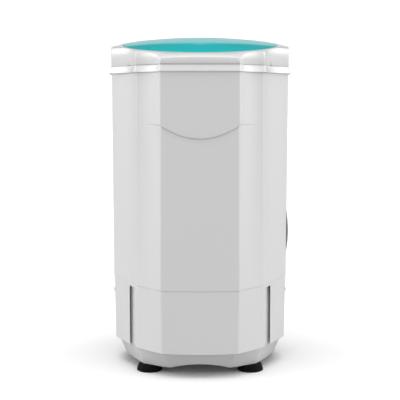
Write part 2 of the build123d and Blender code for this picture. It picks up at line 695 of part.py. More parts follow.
# The drain elbow leaves the tub floor and turns up outside the skirt.
elbow_path_points = [
    (DRAIN_X, DRAIN_Y, TUB_BOTTOM_Z - 1),
    (DRAIN_X, DRAIN_Y, ELBOW_RUN_Z),
    (HOSE_ROUTE[0][0], HOSE_ROUTE[0][1], ELBOW_RUN_Z),
    (HOSE_ROUTE[0][0], HOSE_ROUTE[0][1], ELBOW_TOP_Z - 0.8),
]
with BuildPart() as drain_elbow:
    with BuildLine() as elbow_path:
        FilletPolyline(*elbow_path_points, radius=ELBOW_BEND_R)
    with BuildSketch(Plane(origin=elbow_path_points[0], z_dir=(0, 0, -1))):
        Circle(DRAIN_R)
        Circle(DRAIN_R - DRAIN_WALL, mode=Mode.SUBTRACT)
    sweep()
    with Locations((DRAIN_X, DRAIN_Y, TUB_BOTTOM_Z - 4)):
        Cylinder(DRAIN_R + 6, 3, align=(Align.CENTER, Align.CENTER, Align.MIN))
        Cylinder(DRAIN_R - DRAIN_WALL, 8, mode=Mode.SUBTRACT)
save(drain_elbow, "drain_elbow")

# The drain hose is held by clips along the rear right flute and ends in a nozzle.


def bend_radii(route):
    """The largest neat arc at each inner point of a route."""
    radii = []
    for before, here, after in zip(route, route[1:], route[2:]):
        first = Vector(here) - Vector(before)
        second = Vector(after) - Vector(here)
        turn = math.radians(first.get_angle(second))
        radii.append(0.45 * min(first.length, second.length) / math.tan(turn / 2))
    return radii


def swept_tube(route, outer_r, inner_r=0.0):
    """A tube or rod along straight runs joined by tangent arcs."""
    start = Vector(route[0])
    with BuildPart() as run:
        with BuildLine() as path:
            FilletPolyline(*route, radius=bend_radii(route))
        with BuildSketch(Plane(origin=start, z_dir=Vector(route[1]) - start)):
            Circle(outer_r)
            if inner_r:
                Circle(inner_r, mode=Mode.SUBTRACT)
        sweep()
    print("radii", [round(radius) for radius in bend_radii(route)], "length",
          round(path.wires()[0].length))
    return run


save(swept_tube(HOSE_ROUTE, HOSE_R), "drain_hose")

nozzle_base = Vector(HOSE_ROUTE[-1])
nozzle_axis = nozzle_base - Vector(HOSE_ROUTE[-2])
with BuildPart() as hose_nozzle:
    with BuildSketch(Plane(origin=nozzle_base, z_dir=nozzle_axis)):
        Circle(HOSE_R + 1.5)
        Circle(6, mode=Mode.SUBTRACT)
    extrude(amount=6)
    with BuildSketch(Plane(origin=nozzle_base + nozzle_axis.normalized() * 6, z_dir=nozzle_axis)):
        Circle(HOSE_R - 1)
    extrude(amount=NOZZLE_LENGTH - 6, taper=4)
    with BuildSketch(Plane(origin=nozzle_base, z_dir=nozzle_axis)):
        Circle(6)
    extrude(amount=NOZZLE_LENGTH, mode=Mode.SUBTRACT)
save(hose_nozzle, "hose_nozzle")

# Two clips stand on the cabinet wall and hold the hose in a split ring.
clip_points = [Vector(*HOSE_ROUTE[6]), Vector(*HOSE_ROUTE[8])]
with BuildPart() as clip_blanks:
    for point in clip_points:
        ring_plane = Plane(
            origin=point - Vector(0, 0, CLIP_RING_HEIGHT / 2), x_dir=SIDE_FLUTE_NORMAL, z_dir=(0, 0, 1)
        )
        with BuildSketch(ring_plane):
            Circle(HOSE_R + 2.6)
            Circle(HOSE_R + 0.9, mode=Mode.SUBTRACT)
            with Locations((HOSE_R, 0)):
                Rectangle(8, 12, mode=Mode.SUBTRACT)
            with Locations((-HOSE_R - 7, 0)):
                Rectangle(12, 16)
        extrude(amount=CLIP_RING_HEIGHT)
    add(cabinet_envelope.part, mode=Mode.SUBTRACT)
with BuildPart() as hose_clips:
    add([solid for solid in clip_blanks.part.solids() if solid.center().X > HOSE_ROUTE[7][0] - 12])
save(hose_clips, "hose_clips")

# The mains gland at the back of the skirt; its lead is not part of the model.
gland_plane = Plane(origin=(GLAND_X, GLAND_LOW_Y, GLAND_Z), z_dir=(0, 1, 0))
with BuildPart() as cord_gland:
    with BuildSketch(gland_plane):
        Circle(GLAND_R)
    extrude(amount=16)
    with BuildSketch(gland_plane.offset(16)):
        Circle(GLAND_R)
    extrude(amount=5, taper=12)
    with BuildSketch(gland_plane.offset(2)):
        Circle(GLAND_R + 3)
    extrude(amount=9)
    with BuildSketch(gland_plane):
        Circle(3.5)
    extrude(amount=24, mode=Mode.SUBTRACT)
    add(skirt.part, mode=Mode.SUBTRACT)
save(cord_gland, "cord_gland")


# ---- Motor unit on its springs ------------------------------------------------------------
with BuildPart() as spring_seats_lower:
    for angle in SPRING_ANGLES:
        with Locations((SPRING_CIRCLE_R * math.cos(math.radians(angle)),
                        SPRING_CIRCLE_R * math.sin(math.radians(angle)), FLOOR_Z + FLOOR_THICKNESS)):
            Cylinder(SEAT_R, 4, align=(Align.CENTER, Align.CENTER, Align.MIN))
            Cylinder(SPRING_R - SPRING_WIRE_R - 1.5, 12, align=(Align.CENTER, Align.CENTER, Align.MIN))
save(spring_seats_lower, "spring_seats_lower")

with BuildPart() as spring_seats_upper:
    for angle in SPRING_ANGLES:
        with Locations((SPRING_CIRCLE_R * math.cos(math.radians(angle)),
                        SPRING_CIRCLE_R * math.sin(math.radians(angle)), SPRING_HIGH_Z)):
            Cylinder(SEAT_R, PLATE_Z - SPRING_HIGH_Z, align=(Align.CENTER, Align.CENTER, Align.MIN))
save(spring_seats_upper, "spring_seats_upper")

coil_pitch = (SPRING_HIGH_Z - SPRING_LOW_Z - 2 * SPRING_WIRE_R) / SPRING_TURNS
for number, angle in enumerate(SPRING_ANGLES, start=1):
    centre = (SPRING_CIRCLE_R * math.cos(math.radians(angle)),
              SPRING_CIRCLE_R * math.sin(math.radians(angle)), SPRING_LOW_Z + SPRING_WIRE_R)
    with BuildPart() as spring:
        with BuildLine() as coil:
            Helix(coil_pitch, coil_pitch * SPRING_TURNS, SPRING_R, center=centre)
        with BuildSketch(Plane(origin=coil.line @ 0, z_dir=coil.line % 0)):
            Circle(SPRING_WIRE_R)
        sweep(is_frenet=True)
    save(spring, f"suspension_spring_{number}")

with BuildPart() as motor_plate:
    with BuildSketch(level(PLATE_Z)):
        with PolarLocations(SPRING_CIRCLE_R, 3, start_angle=SPRING_ANGLES[0]):
            Circle(SEAT_R + 2)
        make_hull()
        with PolarLocations(MOTOR_R - 8, 4, start_angle=45):
            Circle(2.6, mode=Mode.SUBTRACT)
    extrude(amount=PLATE_THICKNESS)
    top_edges = motor_plate.edges().filter_by(Axis.Z, reverse=True).group_by(Axis.Z)[-1]
    fillet(top_edges.sort_by(SortBy.LENGTH)[-6:], 1)
save(motor_plate, "motor_plate")

motor_low = PLATE_Z + PLATE_THICKNESS
with BuildPart() as motor_housing:
    Cylinder(MOTOR_R, CAP_JOINT_Z - motor_low, align=(Align.CENTER, Align.CENTER, Align.MIN))
    with Locations((0, 0, MOTOR_WALL)):
        Cylinder(MOTOR_R - MOTOR_WALL, CAP_JOINT_Z - motor_low, mode=Mode.SUBTRACT,
                 align=(Align.CENTER, Align.CENTER, Align.MIN))
    Cylinder(BEARING_R + 3, BEARING_HEIGHT, align=(Align.CENTER, Align.CENTER, Align.MIN))
    Cylinder(BEARING_R, BEARING_HEIGHT + 2, mode=Mode.SUBTRACT,
             align=(Align.CENTER, Align.CENTER, Align.MIN))
    with BuildSketch(level(20)):
        with PolarLocations(MOTOR_R - 6, 10):
            SlotOverall(12, 4, rotation=90)
    extrude(amount=-20, mode=Mode.SUBTRACT)
motor_housing.part.locate(Location((0, 0, motor_low)))
save(motor_housing, "motor_housing")

pivot_r = math.hypot(*BRAKE_PIVOT)
pivot_angle = math.degrees(math.atan2(BRAKE_PIVOT[1], BRAKE_PIVOT[0]))
with BuildPart() as motor_end_cap:
    with BuildSketch(level(CAP_JOINT_Z)):
        Circle(MOTOR_R)
        Circle(MOTOR_R - MOTOR_WALL, mode=Mode.SUBTRACT)
    extrude(amount=MOTOR_TOP_Z - CAP_JOINT_Z)
    with BuildSketch(level(MOTOR_TOP_Z - 4)):
        Circle(MOTOR_R)
        with Locations(BRAKE_PIVOT):
            Circle(BRAKE_EAR_R)
        with Locations((BRAKE_PIVOT[0] * 0.85, BRAKE_PIVOT[1] * 0.85, 0)):
            Rectangle(24, 2 * BRAKE_EAR_R, rotation=pivot_angle)
    extrude(amount=4)
    with BuildSketch(level(MOTOR_TOP_Z - BEARING_HEIGHT)):
        Circle(BEARING_R + 3)
    extrude(amount=BEARING_HEIGHT)
    with BuildSketch(level(MOTOR_TOP_Z - BEARING_HEIGHT)):
        Circle(BEARING_R)
    extrude(amount=BEARING_HEIGHT, mode=Mode.SUBTRACT)
    with BuildSketch(level(MOTOR_TOP_Z - 4)):
        with PolarLocations(MOTOR_R - 18, 12):
            SlotOverall(18, 5)
        with Locations(BRAKE_PIVOT):
            Circle(BRAKE_PIN_R)
    extrude(amount=4, mode=Mode.SUBTRACT)
save(motor_end_cap, "motor_end_cap")

with BuildPart() as motor_bearings:
    for low in (motor_low + 1, MOTOR_TOP_Z - BEARING_HEIGHT + 1):
        with BuildSketch(level(low)):
            Circle(BEARING_R)
            Circle(MOTOR_SHAFT_R + RUNNING_CLEARANCE, mode=Mode.SUBTRACT)
        extrude(amount=BEARING_HEIGHT - 2)
save(motor_bearings, "motor_bearings")

with BuildPart() as stator:
    with BuildSketch(level(STATOR_LOW_Z)):
        Circle(MOTOR_R - MOTOR_WALL)
        Circle(STATOR_BORE_R, mode=Mode.SUBTRACT)
        with PolarLocations(STATOR_BORE_R + 9, 12):
            SlotOverall(14, 6, mode=Mode.SUBTRACT)
    extrude(amount=STATOR_HIGH_Z - STATOR_LOW_Z)
save(stator, "stator")

with BuildPart() as stator_windings:
    with BuildSketch(level(STATOR_LOW_Z)):
        with PolarLocations(STATOR_BORE_R + 9, 12):
            SlotOverall(13.6, 5.6)
    extrude(amount=STATOR_HIGH_Z - STATOR_LOW_Z)
    for end_z, rise in ((STATOR_HIGH_Z, 6), (STATOR_LOW_Z, -6)):
        with BuildSketch(level(end_z)):
            Circle(STATOR_BORE_R + 17)
            Circle(STATOR_BORE_R + 2, mode=Mode.SUBTRACT)
        extrude(amount=rise)
save(stator_windings, "stator_windings")

# Feet of the motor are held down by four screws through the plate.
with BuildPart() as motor_screws:
    with PolarLocations(MOTOR_R - 8, 4, start_angle=45):
        with Locations((0, 0, PLATE_Z - 3)):
            Cylinder(4.5, 3, align=(Align.CENTER, Align.CENTER, Align.MIN))
            Cylinder(2.5, 3 + PLATE_THICKNESS, align=(Align.CENTER, Align.CENTER, Align.MIN))
save(motor_screws, "motor_screws")


# ---- Spinning parts -----------------------------------------------------------------------
basket_floor_z = BASKET_BOTTOM_Z + 6
with BuildPart() as drive_shaft:
    with Locations((0, 0, SHAFT_LOW_Z)):
        Cylinder(MOTOR_SHAFT_R, 180 - SHAFT_LOW_Z, align=(Align.CENTER, Align.CENTER, Align.MIN))
    with Locations((0, 0, 180)):
        Cylinder(DRIVE_SHAFT_R, basket_floor_z - 180, align=(Align.CENTER, Align.CENTER, Align.MIN))
    with Locations((0, 0, basket_floor_z)):
        Cylinder(7, 26, align=(Align.CENTER, Align.CENTER, Align.MIN))
save(drive_shaft, "drive_shaft")

with BuildPart() as rotor:
    with BuildSketch(level(STATOR_LOW_Z)):
        Circle(STATOR_BORE_R - 0.6)
        Circle(MOTOR_SHAFT_R, mode=Mode.SUBTRACT)
    extrude(amount=STATOR_HIGH_Z - STATOR_LOW_Z)
save(rotor, "rotor")

brake_drum_section = [
    (MOTOR_SHAFT_R, DRUM_LOW_Z),
    (DRUM_R, DRUM_LOW_Z),
    (DRUM_R, DRUM_HIGH_Z),
    (DRUM_R - 4, DRUM_HIGH_Z),
    (DRUM_R - 4, DRUM_LOW_Z + 4),
    (DRIVE_SHAFT_R + 6, DRUM_LOW_Z + 4),
    (DRIVE_SHAFT_R + 6, DRUM_HIGH_Z),
    (DRIVE_SHAFT_R, DRUM_HIGH_Z),
    (DRIVE_SHAFT_R, 180),
    (MOTOR_SHAFT_R, 180),
]
save(turned(brake_drum_section), "brake_drum")

hub_section = [
    (DRIVE_SHAFT_R, HUB_LOW_Z),
    (20, HUB_LOW_Z),
    (24, BASKET_BOTTOM_Z + 2),
    (HUB_FLANGE_R, BASKET_BOTTOM_Z + 2),
    (HUB_FLANGE_R, basket_floor_z),
    (DRIVE_SHAFT_R, basket_floor_z),
]
save(turned(hub_section), "basket_hub")

basket_section = [
    (7, basket_floor_z),
    (HUB_FLANGE_R + 6, basket_floor_z),
    (HUB_FLANGE_R + 14, BASKET_BOTTOM_Z),
    (BASKET_R - 10, BASKET_BOTTOM_Z),
    (BASKET_R, BASKET_BOTTOM_Z + 10),
    (BASKET_R, BASKET_TOP_Z - 30),
    (BASKET_R - BASKET_WALL, BASKET_TOP_Z - 30),
    (BASKET_R - BASKET_WALL, BASKET_BOTTOM_Z + 11),
    (BASKET_R - 10.5, BASKET_BOTTOM_Z + BASKET_WALL),
    (HUB_FLANGE_R + 15, BASKET_BOTTOM_Z + BASKET_WALL),
    (HUB_FLANGE_R + 7, basket_floor_z + BASKET_WALL),
    (7, basket_floor_z + BASKET_WALL),
]
row_pitch = (HOLE_HIGH_Z - HOLE_LOW_Z) / (HOLE_ROWS - 1)
hole_step = 360 / HOLES_PER_ROW
with BuildPart() as basket:
    with BuildSketch(radial_plane()):
        with BuildLine():
            Polyline(*basket_section, close=True)
        make_face()
    revolve(axis=Axis.Z)
    for column in range(HOLES_PER_ROW):
        turn = column * hole_step
        wall_plane = Plane.YZ.rotated((0, 0, turn))
        with BuildSketch(wall_plane.offset(BASKET_R - 6)):
            for row in range(HOLE_ROWS):
                with Locations((0, HOLE_LOW_Z + row_pitch * row)):
                    Circle(HOLE_R)
        extrude(amount=12, mode=Mode.SUBTRACT)
save(basket, "basket")

ring_section = [
    (BASKET_R - 15, BASKET_TOP_Z - 22),
    (BASKET_R - BASKET_WALL, BASKET_TOP_Z - RING_HEIGHT),
    (BASKET_R, BASKET_TOP_Z - RING_HEIGHT),
    (BASKET_R, BASKET_TOP_Z - 3),
    (BASKET_R - 3, BASKET_TOP_Z),
    (BASKET_R - 12, BASKET_TOP_Z),
    (BASKET_R - 15, BASKET_TOP_Z - 3),
]
save(turned(ring_section), "balance_ring")

with BuildPart() as hub_nut:
    with BuildSketch(level(basket_floor_z + BASKET_WALL)):
        Circle(16)
        Circle(7, mode=Mode.SUBTRACT)
    extrude(amount=2)
    with BuildSketch(level(basket_floor_z + BASKET_WALL + 2)):
        RegularPolygon(12, 6)
        Circle(7, mode=Mode.SUBTRACT)
    extrude(amount=12)
save(hub_nut, "hub_nut")


# ---- Brake --------------------------------------------------------------------------------
with BuildPart() as brake_lever:
    with BuildSketch(level(BRAKE_LEVER_Z)):
        with Locations(BRAKE_PIVOT):
            Circle(LEVER_BOSS_R)
        with Locations((BRAKE_PIVOT[0], (BRAKE_PIVOT[1] + LEVER_END_Y) / 2)):
            SlotOverall(LEVER_END_Y - BRAKE_PIVOT[1] + 2 * LEVER_HALF_WIDTH, 2 * LEVER_HALF_WIDTH,
                        rotation=90)
        with Locations((BRAKE_PIVOT[0] + 8, 0)):
            Rectangle(10, 20)
        with Locations(BRAKE_PIVOT):
            Circle(BRAKE_PIN_R + RUNNING_CLEARANCE, mode=Mode.SUBTRACT)
        with Locations((BRAKE_PIVOT[0], LEVER_END_Y)):
            Circle(2.2, mode=Mode.SUBTRACT)
    extrude(amount=BRAKE_LEVER_THICKNESS)
save(brake_lever, "brake_lever")

with BuildPart() as brake_pad:
    with BuildSketch(level(BRAKE_LEVER_Z - 2)):
        with Locations(((BRAKE_PIVOT[0] + 13 + BRAKE_PAD_FACE_X) / 2, 0)):
            Rectangle(BRAKE_PAD_FACE_X - BRAKE_PIVOT[0] - 13, 24)
    extrude(amount=BRAKE_LEVER_THICKNESS + 4)
save(brake_pad, "brake_pad")

with BuildPart() as brake_pivot_pin:
    with BuildSketch(level(MOTOR_TOP_Z - 4)):
        with Locations(BRAKE_PIVOT):
            Circle(BRAKE_PIN_R)
    extrude(amount=BRAKE_LEVER_Z + BRAKE_LEVER_THICKNESS + 6 - (MOTOR_TOP_Z - 4))
    with BuildSketch(level(MOTOR_TOP_Z)):
        with Locations(BRAKE_PIVOT):
            Circle(LEVER_BOSS_R - 1)
            Circle(BRAKE_PIN_R, mode=Mode.SUBTRACT)
    extrude(amount=BRAKE_LEVER_Z - 1 - MOTOR_TOP_Z)
save(brake_pivot_pin, "brake_pivot_pin")

# The brake cable runs down the rear left corner of the cabinet to the lever.
save(swept_tube(CABLE_ROUTE, CABLE_R), "brake_cable")

with BuildPart() as bracket_blank:
    with BuildSketch(Plane.XY.offset(CABLE_ROUTE[-1][2] + 3).rotated((0, 0, CABLE_TURN))):
        with Locations(((RIB_R + 170) / 2, 0)):
            Rectangle(170 - RIB_R - 0.4, 14)
    extrude(amount=6)
    add(top_cover.part, mode=Mode.SUBTRACT)
with BuildPart() as cable_bracket:
    add(bracket_blank.part.solids().sort_by(SortBy.VOLUME)[-1])
save(cable_bracket, "cable_bracket")


# ---- Lid switch and electrics -------------------------------------------------------------
seat_underside = SEAT_Z - SEAT_THICKNESS
with BuildPart() as lid_switch:
    with BuildSketch(level(seat_underside - SWITCH_HEIGHT)):
        with Locations((PLUNGER_X, PLUNGER_Y)):
            Rectangle(17, 17, rotation=45)
    extrude(amount=SWITCH_HEIGHT)
    with BuildSketch(level(seat_underside - SWITCH_HEIGHT + 4)):
        with Locations((PLUNGER_X, PLUNGER_Y)):
            Circle(PLUNGER_R + RUNNING_CLEARANCE)
    extrude(amount=SWITCH_HEIGHT, mode=Mode.SUBTRACT)
save(lid_switch, "lid_switch")

with BuildPart() as switch_plunger:
    with BuildSketch(level(seat_underside - SWITCH_HEIGHT + 5)):
        with Locations((PLUNGER_X, PLUNGER_Y)):
            Circle(PLUNGER_R)
    extrude(amount=LID_FLOOR_Z - 0.3 - (seat_underside - SWITCH_HEIGHT + 5))
    chamfer(switch_plunger.faces().sort_by(Axis.Z)[-1].edges(), 0.8)
save(switch_plunger, "switch_plunger")

pan_z = FLOOR_Z + FLOOR_THICKNESS
with BuildPart() as capacitor:
    with BuildSketch(level(pan_z)):
        with Locations((CAPACITOR_X, CAPACITOR_Y)):
            Circle(CAPACITOR_R)
    extrude(amount=CAPACITOR_HEIGHT)
    fillet(capacitor.faces().sort_by(Axis.Z)[-1].edges(), 2)
    with BuildSketch(level(pan_z + CAPACITOR_HEIGHT)):
        with Locations((CAPACITOR_X - 5, CAPACITOR_Y), (CAPACITOR_X + 5, CAPACITOR_Y)):
            Rectangle(1, 6)
    extrude(amount=8)
save(capacitor, "capacitor")

with BuildPart() as capacitor_clamp:
    with BuildSketch(level(pan_z + 18)):
        with Locations((CAPACITOR_X, CAPACITOR_Y)):
            Circle(CAPACITOR_R + 2)
            Circle(CAPACITOR_R, mode=Mode.SUBTRACT)
    extrude(amount=12)
    with BuildSketch(level(pan_z)):
        with Locations((CAPACITOR_X, CAPACITOR_Y + CAPACITOR_R + 1.5)):
            Rectangle(10, 2)
    extrude(amount=24)
    with BuildSketch(level(pan_z)):
        with Locations((CAPACITOR_X, CAPACITOR_Y + CAPACITOR_R + 6)):
            Rectangle(10, 9)
    extrude(amount=2)
save(capacitor_clamp, "capacitor_clamp")

# Pan head screws hold the skirt to the plinth sleeve, two at each side.
with BuildPart() as skirt_screws:
    for side in (-1, 1):
        with BuildSketch(Plane.YZ.offset(side * SCREW_TIP_X)):
            with Locations(*SCREW_PLACES):
                Circle(SCREW_R)
        extrude(amount=side * (SCREW_HEAD_X - SCREW_TIP_X))
        with BuildSketch(Plane.YZ.offset(side * SCREW_HEAD_X)):
            with Locations(*SCREW_PLACES):
                Circle(2 * SCREW_R)
        extrude(amount=side * 1.8)
save(skirt_screws, "skirt_screws")
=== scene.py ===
import json
import math

import bmesh
import bpy
import numpy as np
from mathutils import Matrix, Vector


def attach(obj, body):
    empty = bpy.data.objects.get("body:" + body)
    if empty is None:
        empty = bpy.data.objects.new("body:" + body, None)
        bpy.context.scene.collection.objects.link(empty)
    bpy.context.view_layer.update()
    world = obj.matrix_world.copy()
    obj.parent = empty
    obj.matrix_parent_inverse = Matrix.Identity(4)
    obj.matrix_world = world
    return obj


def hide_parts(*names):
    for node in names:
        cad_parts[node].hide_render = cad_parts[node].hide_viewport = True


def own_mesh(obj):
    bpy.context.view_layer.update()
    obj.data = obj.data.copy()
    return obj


bl_info = {
    "name": "Spin Washer",
    "version": (1, 0, 0),
    "blender": (4, 5, 0),
    "location": "View3D > Sidebar > Washer",
    "description": "Builds the casing, lid, hose and finishes of a slim top load spin washer",
    "category": "Add Mesh",
}

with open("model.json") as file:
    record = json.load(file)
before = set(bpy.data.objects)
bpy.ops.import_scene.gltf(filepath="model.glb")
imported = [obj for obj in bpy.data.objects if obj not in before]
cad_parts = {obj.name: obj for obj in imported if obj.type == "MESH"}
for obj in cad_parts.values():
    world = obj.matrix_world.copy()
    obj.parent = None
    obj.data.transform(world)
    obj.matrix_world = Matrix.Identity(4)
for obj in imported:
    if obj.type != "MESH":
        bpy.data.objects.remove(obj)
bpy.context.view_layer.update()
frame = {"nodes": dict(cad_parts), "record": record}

# ---- Sizes of the moulded plan, in metres ---------------------------------------------------
MM = 0.001
# Corners of the twelve-sided plan in one quarter, and the rise of the arcs between them:
# front panel, front flute, side flute, side.
TOP_PLAN = (((77, 177), (126, 118), (178.6, 25)), (4, -11, -7, 1))
SEAM_PLAN = (((78.5, 170), (129, 121), (177, 27)), (5, -1, -1, 1))
HEM_PLAN = (((76, 166), (126.5, 119), (174, 27)), (8, 1, 1, 1))
CAP_PLAN = (((78, 180.5), (127.2, 120), (179.6, 25)), (4, -11, -7, 1))
PLINTH_LOW_PLAN = (((60, 138.6), (116.5, 103), (151, 24)), (7, 1, 1, 1))
PLINTH_HIGH_PLAN = (((72.5, 160), (122.5, 114.5), (167, 26)), (7, 1, 1, 1))

WALL = 3 * MM
HEM_Z = 50 * MM
SEAM_Z = 180 * MM
PLAN_TOP_Z = 640 * MM
COLLAR_LOW_Z = 595 * MM
COLLAR_HIGH_Z = 610 * MM
COLLAR_TILT = 0.138
DECK_INNER_R = 157.5 * MM
DECK_Z = 655 * MM
DECK_SLOPE = 0.23
SEAT_Z = 647 * MM
THROAT_R = 118 * MM


# ---- Settings a user would change -----------------------------------------------------------
class WasherSizes(bpy.types.PropertyGroup):
    """Sizes of the visual details."""

    apron_step: bpy.props.FloatProperty(
        name="Apron step", description="How far the front apron stands proud",
        default=2.5 * MM, min=0, max=5 * MM, subtype="DISTANCE", unit="LENGTH")
    apron_edge: bpy.props.FloatProperty(
        name="Apron edge", description="Height of the apron's lower edge at its ends",
        default=514 * MM, subtype="DISTANCE", unit="LENGTH")
    apron_dip: bpy.props.FloatProperty(
        name="Apron dip", description="How far the lower edge dips in the middle",
        default=26 * MM, subtype="DISTANCE", unit="LENGTH")
    corner_softness: bpy.props.FloatProperty(
        name="Corner softness", description="Rounding of the upright creases",
        default=1.6 * MM, min=0.1 * MM, max=8 * MM, subtype="DISTANCE", unit="LENGTH")
    edge_round: bpy.props.FloatProperty(
        name="Edge round", description="Rounding of the moulded edges",
        default=0.7 * MM, min=0.1 * MM, max=2 * MM, subtype="DISTANCE", unit="LENGTH")
    collar_flare: bpy.props.FloatProperty(
        name="Collar flare", description="How far the collar's lower edge stands out",
        default=4.2 * MM, subtype="DISTANCE", unit="LENGTH")
    hose_ribs: bpy.props.IntProperty(
        name="Hose ribs", description="Ribs along the drain hose", default=74, min=10, max=200)


class WasherColours(bpy.types.PropertyGroup):
    """Colours of the finishes."""

    casing: bpy.props.FloatVectorProperty(
        name="Casing", description="Glossy white casing", subtype="COLOR", size=4,
        min=0, max=1, default=(0.83, 0.83, 0.835, 1))
    lid: bpy.props.FloatVectorProperty(
        name="Lid", description="See-through teal lid", subtype="COLOR", size=4,
        min=0, max=1, default=(0.003, 0.62, 0.65, 1))
    rubber: bpy.props.FloatVectorProperty(
        name="Rubber", description="Feet and grommets", subtype="COLOR", size=4,
        min=0, max=1, default=(0.004, 0.004, 0.0045, 1))
    hose: bpy.props.FloatVectorProperty(
        name="Hose", description="Ribbed drain hose", subtype="COLOR", size=4,
        min=0, max=1, default=(0.05, 0.052, 0.055, 1))


# ---- Plan of the casing ---------------------------------------------------------------------
def plan_ring(plan):
    """Corner points of a plan, anticlockwise from the front right, in metres."""
    quarter, rises = plan
    ring = [(x, -y) for x, y in quarter]
    ring += [(x, y) for x, y in reversed(quarter)]
    ring += [(-x, y) for x, y in quarter]
    ring += [(-x, -y) for x, y in reversed(quarter)]
    front, front_flute, side_flute, side = rises
    return np.array(ring) * MM, np.array([front_flute, side_flute, side, side_flute, front_flute, front] * 2) * MM


def mix_plan(low, high, share):
    """A plan between two plans."""
    corners = tuple(
        tuple(a + (b - a) * share for a, b in zip(p, q)) for p, q in zip(low[0], high[0])
    )
    return corners, tuple(a + (b - a) * share for a, b in zip(low[1], high[1]))


TURN = 2 * math.pi
FINE_STEPS = 1440
fine_angles = np.arange(FINE_STEPS) * TURN / FINE_STEPS


def plan_radii(plan, softness):
    """Distance from the middle to the plan at each fine angle, with softened corners."""
    corners, rises = plan_ring(plan)
    points = []
    for start, end, rise in zip(corners, np.roll(corners, -1, axis=0), rises):
        run = end - start
        length = np.hypot(*run)
        outward = np.array((run[1], -run[0])) / length
        share = np.arange(60) / 60
        arc = 4 * rise * share * (1 - share)
        points.append(start + np.outer(share, run) + np.outer(arc, outward))
    points = np.concatenate(points)
    steps = np.hypot(*(np.roll(points, -1, axis=0) - points).T)
    along = np.concatenate(([0], np.cumsum(steps)))
    even = np.arange(3000) * along[-1] / 3000
    closed = np.vstack((points, points[:1]))
    x = np.interp(even, along, closed[:, 0])
    y = np.interp(even, along, closed[:, 1])
    spacing = along[-1] / 3000
    reach = np.arange(3000)
    reach = np.minimum(reach, 3000 - reach) * spacing
    kernel = np.exp(-0.5 * (reach / softness) ** 2)
    kernel = np.fft.rfft(kernel / kernel.sum())
    x = np.fft.irfft(np.fft.rfft(x) * kernel, 3000)
    y = np.fft.irfft(np.fft.rfft(y) * kernel, 3000)
    angle = np.unwrap(np.arctan2(y, x))
    order = np.argsort(angle % TURN)
    return np.interp(fine_angles, (angle % TURN)[order], np.hypot(x, y)[order], period=TURN)


def corner_angles():
    """Polar angles of the upright creases."""
    corners = plan_ring(mix_plan(SEAM_PLAN, TOP_PLAN, 0.5))[0]
    return np.arctan2(corners[:, 1], corners[:, 0]) % TURN


def column_angles(extra=()):
    """Columns of a casing mesh: even ones, and close ones at each upright crease."""
    even = np.arange(0, TURN, math.radians(1.5))
    near = np.radians(np.arange(-3.2, 3.3, 0.4))
    close = (corner_angles()[:, None] + near[None, :]).ravel() % TURN
    angles = np.sort(np.concatenate((even, close, np.array(extra) % TURN)))
    keep = np.concatenate(([True], np.diff(angles) > math.radians(0.12)))
    return angles[keep]


class PlanTable:
    """Radius of the casing for any angle and height, from plans at a few heights."""

    def __init__(self, levels, softness):
        self.heights = []
        rows = []
        for (low_z, low), (high_z, high) in zip(levels, levels[1:]):
            count = max(2, int((high_z - low_z) / (12 * MM)))
            for step in range(count):
                self.heights.append(low_z + (high_z - low_z) * step / count)
                rows.append(plan_radii(mix_plan(low, high, step / count), softness))
        self.heights.append(levels[-1][0])
        rows.append(plan_radii(levels[-1][1], softness))
        self.rows = np.array(rows)

    def radius(self, angles, heights):
        """Radius at each angle, at that angle's height."""
        level = np.interp(heights, self.heights, np.arange(len(self.heights)))
        low = np.clip(level.astype(int), 0, len(self.heights) - 2)
        part = level - low
        spot = angles / TURN * FINE_STEPS
        first = spot.astype(int) % FINE_STEPS
        second = (first + 1) % FINE_STEPS
        across = spot - np.floor(spot)
        below = self.rows[low, first] * (1 - across) + self.rows[low, second] * across
        above = self.rows[low + 1, first] * (1 - across) + self.rows[low + 1, second] * across
        return below * (1 - part) + above * part


def ring_points(angles, radii, heights):
    """Points of one ring."""
    return np.stack((radii * np.cos(angles), radii * np.sin(angles),
                     np.broadcast_to(heights, angles.shape)), axis=1)


def tilted(base, angles, radii):
    """Height of a plane that rises towards the front, at each angle of a ring."""
    return base - COLLAR_TILT * radii * np.sin(angles)


# ---- Mesh helpers ---------------------------------------------------------------------------
def add_piece(name, vertices, faces):
    """A new object from points and faces, with outward faces."""
    mesh = bpy.data.meshes.new(name)
    mesh.from_pydata([tuple(v) for v in vertices], [], [tuple(f) for f in faces])
    piece = bpy.data.objects.new(name, mesh)
    bpy.context.scene.collection.objects.link(piece)
    work = bmesh.new()
    work.from_mesh(mesh)
    bmesh.ops.recalc_face_normals(work, faces=work.faces)
    work.to_mesh(mesh)
    work.free()
    return piece


def shade(piece, angle=35):
    """Smooth shading that keeps edges sharper than an angle."""
    mesh = piece.data
    mesh.polygons.foreach_set("use_smooth", [True] * len(mesh.polygons))
    mesh.set_sharp_from_angle(angle=math.radians(angle))
    return piece


def soften(piece, width, angle=40, segments=3):
    """Rounded edges, applied to the mesh, with even shading on the flats."""
    bevel = piece.modifiers.new("edge_round", "BEVEL")
    bevel.width = width
    bevel.segments = segments
    bevel.limit_method = "ANGLE"
    bevel.angle_limit = math.radians(angle)
    bevel.miter_outer = "MITER_ARC"
    apply_modifiers(piece)
    shade(piece, 60)
    return piece


def apply_modifiers(piece):
    """Replace the mesh with its modified one."""
    depsgraph = bpy.context.evaluated_depsgraph_get()
    baked = bpy.data.meshes.new_from_object(piece.evaluated_get(depsgraph))
    piece.modifiers.clear()
    piece.data = baked
    return piece


